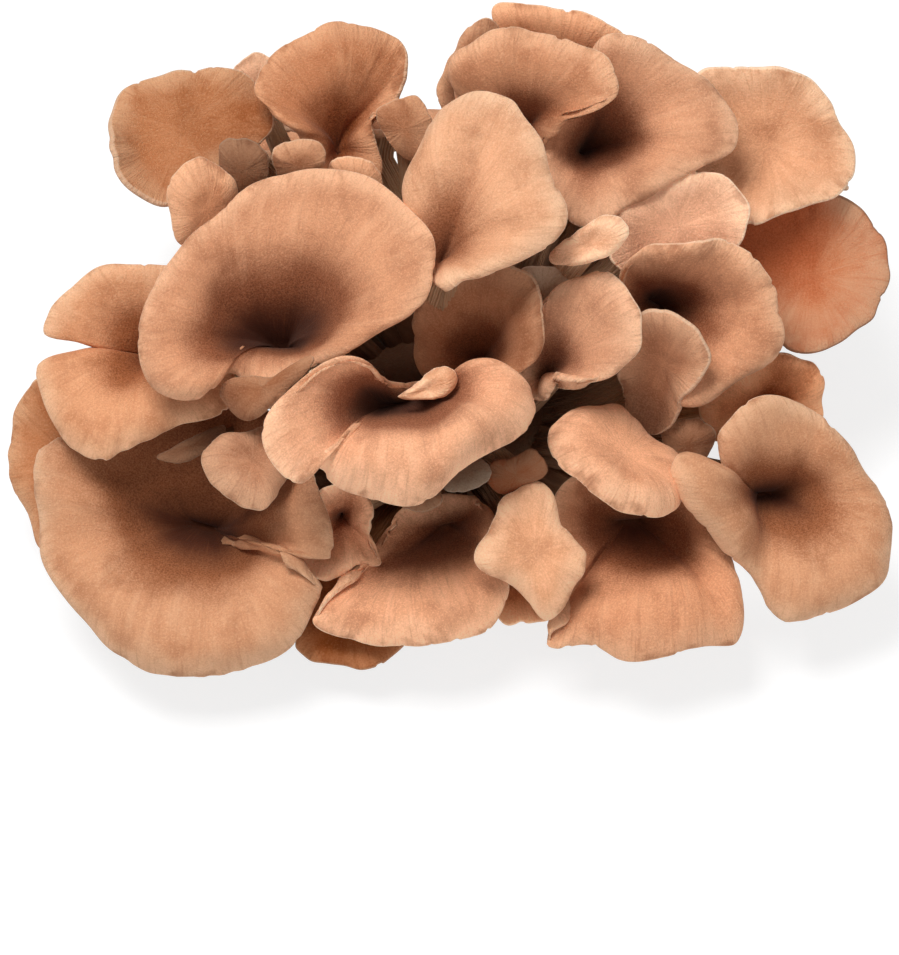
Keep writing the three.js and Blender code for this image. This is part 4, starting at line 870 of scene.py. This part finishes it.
          cap=2, shade=-12, warm=10, throat=((-6, -33, 10),), rim=((-11.5, -36, 23, 0),
          (-7, -38, 24, 1), (-3, -37, 25, 1), (-1, -34, 25, 1), (-4, -30, 21, 0), (-10, -31, 21, 0))),
)


# ---- The butt -----------------------------------------------------------------------------


@dataclass(frozen=True)
class Butt:
    """The lumpy block that every stalk grows out of, cut flat below."""

    columns: int = 180
    rows: int = 70
    cut_rows: int = 16

    def surface(self) -> tuple[Array, tuple[Array, Array], dict[str, Array]]:
        """Works out the block's skin.

        The radius at each height is the profile's, swollen and drawn in by products of sines of the
        angle and the height, and pitted a little. The cut is a flat disc whose rings share one height.

        Returns:
            The grid of points, its two poles, and the values for the materials.
        """
        rng = np.random.default_rng(zlib.crc32(b"base_butt"))
        angle = -2 * np.pi * np.arange(self.columns) / self.columns
        step = np.linspace(0.0, len(BUTT_PROFILE) - 1, self.rows)
        height = np.interp(step, np.arange(len(BUTT_PROFILE)), BUTT_PROFILE[:, 0])[:, None]
        padded = np.vstack([BUTT_PROFILE[:1], BUTT_PROFILE, BUTT_PROFILE[-1:]])
        radius = closed_spline(padded, 1.0 + np.minimum(step, len(BUTT_PROFILE) - 1.001))[:, 1:2]
        lump = 1 + BUTT_LUMP * np.sin(3 * angle + height / 6) * np.cos(2 * angle - height / 9)
        reach = radius * lump
        across, back = np.cos(angle) * reach, np.sin(angle) * reach * BUTT_DEPTH
        wall = np.stack([across, back, height + 0 * reach], axis=-1)
        pits = 0.35 * lumps(rng, wall, 7.0) + 0.2 * lumps(rng, wall, 3.0) - 0.4
        outward = unit(wall * np.array([1.0, 1.0, 0.0]))
        wall = wall + outward * (pits * smooth(height, 0.0, 4.0))[..., None]
        share = np.linspace(0.06, 0.985, self.cut_rows)[:, None, None]
        cut = wall[0] * share
        grid = np.concatenate([cut, wall])
        top = np.array([0.0, 0.0, BUTT_PROFILE[-1, 0] + 1.0])
        whole = np.ones(grid.shape[:2])
        marks = {"cut": whole * np.repeat([1.0, 0.0], [self.cut_rows, self.rows])[:, None]}
        return grid, (np.zeros(3), top), marks

    def make(self, finish: bpy.types.Material) -> bpy.types.Object:
        """Builds the butt, dresses it and puts it in place of its plain solid."""
        grid, poles, marks = self.surface()
        piece = skin_object("butt", grid, poles, marks)
        piece.data.materials.append(finish)
        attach(piece, "root")
        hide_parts("base_butt")
        log.info("butt: %d rings of %d points", *grid.shape[:2])
        return piece


# ---- Finishes -----------------------------------------------------------------------------


def linear(rgb: Rgb) -> tuple[float, float, float, float]:
    """A colour written as three numbers up to 255, as the shader's linear light."""
    share = np.array(rgb) / 255.0
    light = np.where(share <= 0.04045, share / 12.92, ((share + 0.055) / 1.055) ** 2.4)
    return (*(float(v) for v in light), 1.0)


class Graph:
    """A node tree filled by short calls. An input is a socket to link or a value to set."""

    def __init__(self, tree: bpy.types.NodeTree) -> None:
        """Keeps the tree that the calls add to."""
        self.tree = tree

    def add(
        self, kind: str, inputs: dict[str | int, object] | None = None, **settings: object
    ) -> bpy.types.Node:
        """Adds a node, sets it up and feeds its inputs.

        Args:
            kind: the node's type.
            inputs: what goes into each input, by name or number.
            settings: properties of the node itself.

        Returns:
            The node.
        """
        node = self.tree.nodes.new(kind)
        for key, value in settings.items():
            setattr(node, key, value)
        for key, value in (inputs or {}).items():
            if isinstance(value, Socket):
                self.link(value, node.inputs[key])
            else:
                node.inputs[key].default_value = value
        return node

    def link(self, source: Socket, target: Socket) -> None:
        """Feeds one socket from another."""
        self.tree.links.new(source, target)

    def mark(self, name: str, output: str = "Fac") -> Socket:
        """One of the values that the mesh carries."""
        return self.add("ShaderNodeAttribute", attribute_name=name).outputs[output]

    def math(self, operation: str, *values: object) -> Socket:
        """A sum, product or function of numbers."""
        return self.add("ShaderNodeMath", dict(enumerate(values)), operation=operation).outputs[0]

    def scaled(self, vector: object, factors: object) -> Socket:
        """A vector times another, number by number."""
        return self.add("ShaderNodeVectorMath", {0: vector, 1: factors}, operation="MULTIPLY").outputs[0]

    def step(self, value: object, low: object, high: object) -> Socket:
        """A soft step from 0 at low to 1 at high."""
        feeds = {"Value": value, "From Min": low, "From Max": high}
        return self.add("ShaderNodeMapRange", feeds, interpolation_type="SMOOTHSTEP").outputs[0]

    def mix(self, share: object, first: object, second: object) -> Socket:
        """Two colours mixed by a share."""
        return self.add("ShaderNodeMix", {0: share, 6: first, 7: second}, data_type="RGBA").outputs[2]

    def noise(self, vector: object, detail: float, roughness: float = 0.5) -> Socket:
        """Cloudy noise with one cloud to each unit of the vector, mostly between 0.3 and 0.7."""
        feeds = {"Vector": vector, "Scale": 1.0, "Detail": detail, "Roughness": roughness}
        return self.add("ShaderNodeTexNoise", feeds).outputs[0]

    def use(self, group: bpy.types.NodeTree, **inputs: object) -> bpy.types.Node:
        """Places a node group. Underscores in an input's name stand for spaces."""
        node = self.add("ShaderNodeGroup", node_tree=group)
        for key, value in inputs.items():
            socket = node.inputs[key.replace("_", " ")]
            if isinstance(value, Socket):
                self.link(value, socket)
            else:
                socket.default_value = value
        return node


def new_finish(name: str) -> tuple[bpy.types.Material, Graph, bpy.types.Node, Socket]:
    """Starts a material.

    Args:
        name: the material's name.

    Returns:
        The material, its graph, its shader and the place on the object in millimetres.
    """
    material = bpy.data.materials.new(name)
    material.use_nodes = True
    graph = Graph(material.node_tree)
    place = graph.scaled(graph.add("ShaderNodeTexCoord").outputs["Object"], (1 / MM, 1 / MM, 1 / MM))
    return material, graph, material.node_tree.nodes["Principled BSDF"], place


def new_group(
    name: str, inputs: dict[str, str], outputs: dict[str, str]
) -> tuple[Graph, dict[str, Socket], dict[str, Socket]]:
    """Starts a shader node group.

    Args:
        name: the group's name.
        inputs: each input's name and whether it is a Float, a Vector or a Color.
        outputs: the same for the outputs.

    Returns:
        The group's graph, its inputs by name, and the sockets that its outputs go into, by name.
    """
    tree = bpy.data.node_groups.new(name, "ShaderNodeTree")
    for in_out, sockets in (("INPUT", inputs), ("OUTPUT", outputs)):
        for key, kind in sockets.items():
            tree.interface.new_socket(name=key, in_out=in_out, socket_type="NodeSocket" + kind)
    graph = Graph(tree)
    entry, end = graph.add("NodeGroupInput"), graph.add("NodeGroupOutput")
    return graph, {key: entry.outputs[key] for key in inputs}, {key: end.inputs[key] for key in outputs}


def fibre_group() -> bpy.types.NodeTree:
    """Fine streaks that run from throat to rim, and broader bands under them."""
    ports = {"Fibre": "Vector", "Width": "Float"}
    graph, inputs, outputs = new_group("Fibres", ports, {"Fine": "Float", "Broad": "Float"})
    per = graph.math("DIVIDE", 1.0, inputs["Width"])
    fine = graph.scaled(graph.scaled(inputs["Fibre"], (1.0, 1.0, 0.09)), per)
    broad = graph.scaled(graph.scaled(inputs["Fibre"], (0.22, 0.22, 0.05)), per)
    graph.link(graph.noise(fine, 3.0, 0.6), outputs["Fine"])
    graph.link(graph.noise(broad, 2.0, 0.5), outputs["Broad"])
    return graph.tree


def nap_group() -> bpy.types.NodeTree:
    """The velvety nap: specks the size of a grain, and soft patches many grains wide."""
    ports = {"Place": "Vector", "Grain": "Float"}
    graph, inputs, outputs = new_group("Nap", ports, {"Specks": "Float", "Patches": "Float"})
    per = graph.math("DIVIDE", 1.0, inputs["Grain"])
    fine = graph.scaled(inputs["Place"], per)
    wide = graph.scaled(inputs["Place"], graph.math("MULTIPLY", per, 0.045))
    graph.link(graph.noise(fine, 2.0, 0.7), outputs["Specks"])
    graph.link(graph.noise(wide, 4.0, 0.55), outputs["Patches"])
    return graph.tree


def rim_group() -> bpy.types.NodeTree:
    """A band along the rim whose inner border wanders."""
    ports = {"Distance": "Float", "Width": "Float", "Wander": "Float", "Noise": "Float"}
    graph, inputs, outputs = new_group("Rim band", ports, {"Band": "Float"})
    swing = graph.math("MULTIPLY", graph.math("SUBTRACT", inputs["Noise"], 0.5), inputs["Wander"])
    place = graph.math("ADD", inputs["Distance"], swing)
    band = graph.math("SUBTRACT", 1.0, graph.step(place, 0.0, inputs["Width"]))
    graph.link(band, outputs["Band"])
    return graph.tree


def gill_group() -> bpy.types.NodeTree:
    """Close gills on the under side, from the angle round the frond, bent and broken by noise."""
    ports = {"Fibre": "Vector", "Count": "Float", "Under": "Float"}
    graph, inputs, outputs = new_group("Gills", ports, {"Ridges": "Float"})
    parts = graph.add("ShaderNodeSeparateXYZ", {0: inputs["Fibre"]}).outputs
    angle = graph.math("ARCTAN2", parts[1], parts[0])
    bend = graph.math("MULTIPLY", graph.noise(graph.scaled(inputs["Fibre"], (0.3, 0.3, 0.12)), 2.0), 6.0)
    wave = graph.math("SINE", graph.math("ADD", graph.math("MULTIPLY", angle, inputs["Count"]), bend))
    ridge = graph.math("MULTIPLY", graph.step(wave, -0.9, 0.9), inputs["Under"])
    graph.link(ridge, outputs["Ridges"])
    return graph.tree


@dataclass(frozen=True)
class Effects:
    """The node groups that the finishes share."""

    fibres: bpy.types.NodeTree
    nap: bpy.types.NodeTree
    rim: bpy.types.NodeTree
    gills: bpy.types.NodeTree


@dataclass(frozen=True)
class SkinFinish:
    """The skin of a frond: colours from rim to throat, and how strongly it is marked."""

    tone: Tone
    rim: Rgb
    body: Rgb
    # throat: partly the skin's own darker throat, partly painted shade
    throat: Rgb
    # deep: mostly painted shade, nearly black, at the bottom of a hollow
    deep: Rgb
    edge: Rgb
    streaks: float  # how much the fibres darken the skin
    band: float = 9.0  # width of the paler band along the rim
    ring_tone_and_shade: float = 0.4  # how much darker the ring inside that band is: partly the skin's own zoning, partly painted shade beside the rim's bulge
    under: Rgb = (216, 180, 146)
    gill_gap: Rgb = (176, 132, 98)
    stalk: Rgb = (190, 146, 110)
    # foot: painted shade where the stalks crowd together near the butt
    foot: Rgb = (104, 68, 46)

    def make(self, effects: Effects) -> bpy.types.Material:
        """Builds the material: skin above, gills and stalk below, each frond a little lighter or darker by
        its own tone and by painted light and shade.

        Args:
            effects: the shared node groups.

        Returns:
            The material.
        """
        material, graph, shader, place = new_finish(self.tone.value)
        fibre, rim_mm, side = graph.mark("fibre", "Vector"), graph.mark("rim_mm"), graph.mark("under")
        streak = graph.use(effects.fibres, Fibre=fibre, Width=0.8).outputs
        nap = graph.use(effects.nap, Place=place, Grain=0.4).outputs
        gills = graph.use(effects.gills, Fibre=fibre, Count=graph.mark("gills"), Under=side).outputs[0]
        near = graph.step(rim_mm, 9.0, 0.0)

        skin = self.upper(graph, effects.rim, rim_mm, near, streak, nap)
        flesh = self.lower(graph, rim_mm, gills, nap)
        colour = graph.mix(graph.step(side, 0.55, 0.95), skin, flesh)
        warm = graph.mark("warm")
        own = {
            "Hue": graph.math("MULTIPLY_ADD", warm, -0.0004, 0.5),
            "Saturation": graph.math("MULTIPLY_ADD", warm, 0.01, 1.0),
            # shade: partly the frond's own tone, partly painted light and shade of where it sits
            "Value": graph.math("MULTIPLY_ADD", graph.mark("shade"), 0.05, 1.0),
            "Color": colour,
        }
        graph.link(graph.add("ShaderNodeHueSaturation", own).outputs[0], shader.inputs["Base Color"])

        height = graph.math("MULTIPLY", nap[0], 0.9)
        height = graph.math("MULTIPLY_ADD", streak[0], graph.math("MULTIPLY_ADD", near, 1.1, 0.35), height)
        height = graph.math("MULTIPLY_ADD", gills, 0.9, height)
        bump = graph.add("ShaderNodeBump", {"Height": height, "Strength": 0.7, "Distance": 0.0004})
        graph.link(bump.outputs[0], shader.inputs["Normal"])
        graph.link(graph.math("MULTIPLY_ADD", nap[0], 0.25, 0.66), shader.inputs["Roughness"])
        shader.inputs["Specular IOR Level"].default_value = 0.3
        shader.inputs["Sheen Weight"].default_value = 0.04
        shader.inputs["Sheen Roughness"].default_value = 0.5
        shader.inputs["Sheen Tint"].default_value = (1.0, 0.85, 0.72, 1.0)
        shader.inputs["Subsurface Weight"].default_value = 0.08
        shader.inputs["Subsurface Radius"].default_value = (1.0, 0.5, 0.3)
        shader.inputs["Subsurface Scale"].default_value = 0.0015
        return material

    def upper(
        self,
        graph: Graph,
        rim: bpy.types.NodeTree,
        rim_mm: Socket,
        near: Socket,
        streak: Sockets,
        nap: Sockets,
    ) -> Socket:
        """The upper skin's colour.

        A paler band lies along the rim, with a darker ring inside it, partly the skin's own zoning and
        partly painted shade beside the rim's bulge. The skin darkens with depth, partly as its own darker
        throat and partly as painted shade, nearly black at the bottom of a hollow. Dark and pale hairs,
        radial streaks and a few stains lie over that, and the lip is paler again.

        Args:
            graph: the material's graph.
            rim: the node group that bands the rim.
            rim_mm: the distance from the rim.
            near: 1 at the rim, 0 a little way in.
            streak: the fine and the broad streaks.
            nap: the specks and the patches.

        Returns:
            The colour.
        """
        throat, deep, pale = linear(self.throat), linear(self.deep), linear(self.rim)

        def banded(width: float, wander: float, noise: Socket) -> Socket:
            """A band along the rim."""
            return graph.use(rim, Distance=rim_mm, Width=width, Wander=wander, Noise=noise).outputs[0]

        # sunk: darker skin and painted shade towards the throat; hollow: painted shade, nearly black, at the
        # bottom
        sunk = graph.math("MULTIPLY_ADD", graph.mark("depth"), 9.0, graph.mark("sink"))
        sunk = graph.math("MULTIPLY_ADD", nap[1], 4.0, sunk)
        hollow = graph.step(sunk, 13.0, 28.0)
        sunk = graph.step(sunk, 5.0, 15.0)
        skin = graph.mix(banded(self.band, 14.0, nap[1]), linear(self.body), pale)
        # the darker ring: partly the skin's own zoning, partly painted shade beside the rim's bulge
        ring = graph.math("SUBTRACT", banded(16.0, 10.0, streak[1]), banded(7.0, 10.0, streak[1]))
        skin = graph.mix(graph.math("MULTIPLY", ring, self.ring_tone_and_shade), skin, throat)
        skin = graph.mix(graph.math("MULTIPLY", graph.step(nap[1], 0.5, 0.7), 0.35), skin, throat)
        skin = graph.mix(sunk, skin, throat)
        skin = graph.mix(hollow, skin, deep)

        # the dark specks grow darker with the painted shade of the hollow
        fuzz = graph.math("MULTIPLY_ADD", sunk, 0.3, 0.2)
        fuzz = graph.math("MULTIPLY", graph.step(nap[0], 0.45, 0.66), fuzz)
        skin = graph.mix(fuzz, skin, graph.mix(sunk, throat, deep))
        hairs = graph.math("MULTIPLY_ADD", sunk, -0.28, 0.4)
        hairs = graph.math("MULTIPLY", graph.math("SUBTRACT", 1.0, hollow), hairs)
        hairs = graph.math("MULTIPLY", graph.step(nap[0], 0.48, 0.3), hairs)
        skin = graph.mix(hairs, skin, pale)

        dark = graph.math("MULTIPLY_ADD", near, 0.08, self.streaks)
        dark = graph.math("MULTIPLY", graph.step(streak[0], 0.5, 0.72), dark)
        skin = graph.mix(dark, skin, throat)
        light = graph.math("MULTIPLY", graph.step(streak[1], 0.5, 0.75), graph.math("SUBTRACT", 1.0, sunk))
        skin = graph.mix(graph.math("MULTIPLY", light, self.streaks), skin, pale)
        stain = graph.math("MULTIPLY", banded(3.0, 8.0, streak[1]), graph.step(nap[1], 0.47, 0.6))
        skin = graph.mix(graph.math("MULTIPLY", stain, 0.5), skin, throat)
        lip = banded(0.8, 1.0, streak[0])
        return graph.mix(graph.math("MULTIPLY", lip, 0.75), skin, linear(self.edge))

    def lower(self, graph: Graph, rim_mm: Socket, gills: Socket, nap: Sockets) -> Socket:
        """The under side's colour: gills that fade in from the rim, then the stalk and its foot, dark with
        painted shade among the crowded stalks.

        Args:
            graph: the material's graph.
            rim_mm: the distance from the rim.
            gills: 1 on a gill, 0 between two.
            nap: the specks and the patches.

        Returns:
            The colour.
        """
        depth = graph.mark("depth")
        flesh = graph.mix(gills, linear(self.gill_gap), linear(self.under))
        flesh = graph.mix(graph.step(rim_mm, 1.0, 7.0), linear(self.body), flesh)
        flesh = graph.mix(graph.step(depth, 0.85, 1.3), flesh, linear(self.stalk))
        # painted shade towards the foot, among the other stalks
        flesh = graph.mix(graph.step(depth, 1.2, 1.9), flesh, linear(self.foot))
        patches = graph.math("MULTIPLY", graph.step(nap[1], 0.45, 0.7), 0.4)
        return graph.mix(patches, flesh, linear(self.gill_gap))


@dataclass(frozen=True)
class ButtFinish:
    """The butt's cream flesh, browner and drier where it was cut."""

    flesh: Rgb = (204, 168, 132)
    hollow: Rgb = (150, 110, 80)
    cut: Rgb = (214, 180, 142)
    # inner: painted shade among the stalks above the butt
    inner: Rgb = (92, 58, 38)

    def make(self, effects: Effects) -> bpy.types.Material:
        """Builds the material: patchy flesh with a grain, paler on the cut, and darker towards the top with
        painted shade among the stalks.

        Args:
            effects: the shared node groups.

        Returns:
            The material.
        """
        material, graph, shader, place = new_finish("butt_flesh")
        grain = graph.use(effects.fibres, Fibre=place, Width=1.4).outputs
        nap = graph.use(effects.nap, Place=place, Grain=0.6).outputs
        hollow = linear(self.hollow)
        colour = graph.mix(graph.step(nap[1], 0.42, 0.68), linear(self.flesh), hollow)
        colour = graph.mix(graph.math("MULTIPLY", graph.step(grain[0], 0.45, 0.7), 0.4), colour, hollow)
        colour = graph.mix(graph.math("MULTIPLY", graph.mark("cut"), 0.7), colour, linear(self.cut))
        # painted shade, darker towards the top where the stalks crowd over the butt
        level = graph.add("ShaderNodeSeparateXYZ", {0: place}).outputs[2]
        colour = graph.mix(graph.step(level, 14.0, 30.0), colour, linear(self.inner))
        height = graph.math("MULTIPLY_ADD", nap[0], 0.5, grain[0])
        bump = graph.add("ShaderNodeBump", {"Height": height, "Strength": 0.8, "Distance": 0.0008})
        graph.link(colour, shader.inputs["Base Color"])
        graph.link(bump.outputs[0], shader.inputs["Normal"])
        graph.link(graph.math("MULTIPLY_ADD", nap[0], 0.2, 0.75), shader.inputs["Roughness"])
        shader.inputs["Specular IOR Level"].default_value = 0.25
        shader.inputs["Subsurface Weight"].default_value = 0.12
        shader.inputs["Subsurface Scale"].default_value = 0.002
        return material


SKINS = (
    SkinFinish(
        Tone.TAN, rim=(248, 198, 158), body=(232, 170, 128), throat=(168, 104, 66), deep=(82, 36, 12),
        edge=(250, 214, 182), streaks=0.2,
    ),
    SkinFinish(
        Tone.BROWN, rim=(242, 186, 146), body=(220, 156, 116), throat=(144, 84, 52), deep=(68, 28, 9),
        edge=(240, 200, 166), streaks=0.22,
    ),
    # The orange tone: partly the frond's own colour, partly painted glow of light shining through thin flesh
    # from behind.
    SkinFinish(
        Tone.RUST, rim=(212, 160, 124), body=(206, 138, 96), throat=(186, 98, 54), deep=(146, 70, 36),
        edge=(150, 104, 76), streaks=0.34, band=15.0,
    ),
    SkinFinish(
        Tone.PALE, rim=(216, 190, 164), body=(204, 172, 142), throat=(160, 120, 92), deep=(90, 60, 42),
        edge=(226, 204, 182), streaks=0.15,
    ),
)


# ---- The whole head and its stage ---------------------------------------------------------


@dataclass(frozen=True)
class Head:
    """The head: a butt and every frond on it."""

    fronds: tuple[Frond, ...]
    butt: Butt = Butt()

    def make(self) -> None:
        """Builds and dresses every piece."""
        effects = Effects(fibre_group(), nap_group(), rim_group(), gill_group())
        finishes = {skin.tone: skin.make(effects) for skin in SKINS}
        self.butt.make(ButtFinish().make(effects))
        for frond in self.fronds:
            frond.make(finishes)


@dataclass(frozen=True)
class Stage:
    """A pale floor, soft light and the camera."""

    slope: float = Face.FRONT.value[0]  # the camera looks square to the front face
    lens: float = 600.0
    frame_width: float = 201.4  # millimetres of the head that fit across the picture
    aim: float = -29.7  # place up the front face that the picture's middle shows
    floor_reach: float = 3.0
    sky: float = 0.26

    def make(self) -> None:
        """Builds the stage round the head."""
        self.make_camera()
        self.make_floor()
        self.make_world()
        self.make_lamp("key", (-0.45, 0.0, 1.9), 0.8, 31.0)
        self.make_lamp("fill", (0.6, -1.6, 1.1), 1.6, 6.5)
        bpy.context.scene.view_settings.view_transform = "Standard"

    def make_camera(self) -> None:
        """Points a long lens square at the front face."""
        data = bpy.data.cameras.new("camera")
        data.lens = self.lens
        data.clip_end = 20.0
        camera = bpy.data.objects.new("camera", data)
        bpy.context.scene.collection.objects.link(camera)
        target = Face.FRONT.place(np.array([[0.0, self.aim, 0.0]]))[0] * MM
        slope = math.radians(self.slope)
        away = np.array([0.0, -math.cos(slope), math.sin(slope)])
        picture_height = self.frame_width * PICTURE[1] / PICTURE[0] * MM
        distance = picture_height * self.lens / data.sensor_width
        camera.location = target + away * distance
        camera.rotation_euler = (math.pi / 2 - slope, 0.0, 0.0)
        bpy.context.scene.camera = camera

    def make_floor(self) -> None:
        """Lays a round white floor that keeps the head's shadow."""
        angle = np.linspace(0.0, 2 * np.pi, 97)[:-1]
        rim = np.stack([np.cos(angle), np.sin(angle), 0 * angle], axis=1) * self.floor_reach
        mesh = bpy.data.meshes.new("floor")
        mesh.from_pydata(rim.tolist(), [], [list(range(len(rim)))])
        floor = bpy.data.objects.new("floor", mesh)
        bpy.context.scene.collection.objects.link(floor)
        material = bpy.data.materials.new("floor")
        material.use_nodes = True
        material.node_tree.nodes.clear()
        graph = Graph(material.node_tree)
        plain = graph.add("ShaderNodeBsdfDiffuse", {"Color": (0.8, 0.8, 0.8, 1.0)}).outputs[0]
        dim = graph.add("ShaderNodeBsdfDiffuse", {"Color": (0.3, 0.3, 0.3, 1.0)}).outputs[0]
        glow = graph.add("ShaderNodeEmission", {"Strength": 0.78}).outputs[0]
        seen = graph.add("ShaderNodeAddShader", {0: dim, 1: glow}).outputs[0]
        mixed = graph.add("ShaderNodeMixShader", {0: self.seen_ray(graph), 1: plain, 2: seen}).outputs[0]
        graph.add("ShaderNodeOutputMaterial", {"Surface": mixed})
        mesh.materials.append(material)

    def seen_ray(self, graph: Graph) -> Socket:
        """1 for a ray that shows its target straight, in a mirror or through glass."""
        rays = graph.add("ShaderNodeLightPath").outputs
        shown = graph.math("MAXIMUM", rays["Is Camera Ray"], rays["Is Glossy Ray"])
        return graph.math("MAXIMUM", shown, rays["Is Transmission Ray"])

    def make_world(self) -> None:
        """A white backdrop that lights the head only softly."""
        world = bpy.data.worlds.new("world")
        world.use_nodes = True
        world.node_tree.nodes.clear()
        graph = Graph(world.node_tree)
        white = graph.add("ShaderNodeBackground", {"Color": (1.0, 1.0, 1.0, 1.0), "Strength": 1.0})
        soft = graph.add("ShaderNodeBackground", {"Color": (1.0, 1.0, 1.0, 1.0), "Strength": self.sky})
        shaders = {0: self.seen_ray(graph), 1: soft.outputs[0], 2: white.outputs[0]}
        mixed = graph.add("ShaderNodeMixShader", shaders).outputs[0]
        graph.add("ShaderNodeOutputWorld", {"Surface": mixed})
        bpy.context.scene.world = world

    def make_lamp(self, name: str, place: tuple[float, float, float], size: float, power: float) -> None:
        """Hangs a square soft lamp that faces the head.

        Args:
            name: the lamp's name.
            place: where it hangs, in metres.
            size: its side, in metres.
            power: its power, in watts.
        """
        data = bpy.data.lights.new(name, "AREA")
        data.size = size
        data.energy = power
        lamp = bpy.data.objects.new(name, data)
        bpy.context.scene.collection.objects.link(lamp)
        x, y, z = place
        lamp.location = place
        lamp.rotation_euler = (math.atan2(math.hypot(x, y), z), 0.0, math.atan2(x, -y))


def main() -> None:
    """Builds the head and its stage."""
    logging.basicConfig(level=logging.INFO, format="%(name)s: %(message)s")
    Head(FRONDS).make()
    Stage().make()


if __name__ == "__main__":
    main()
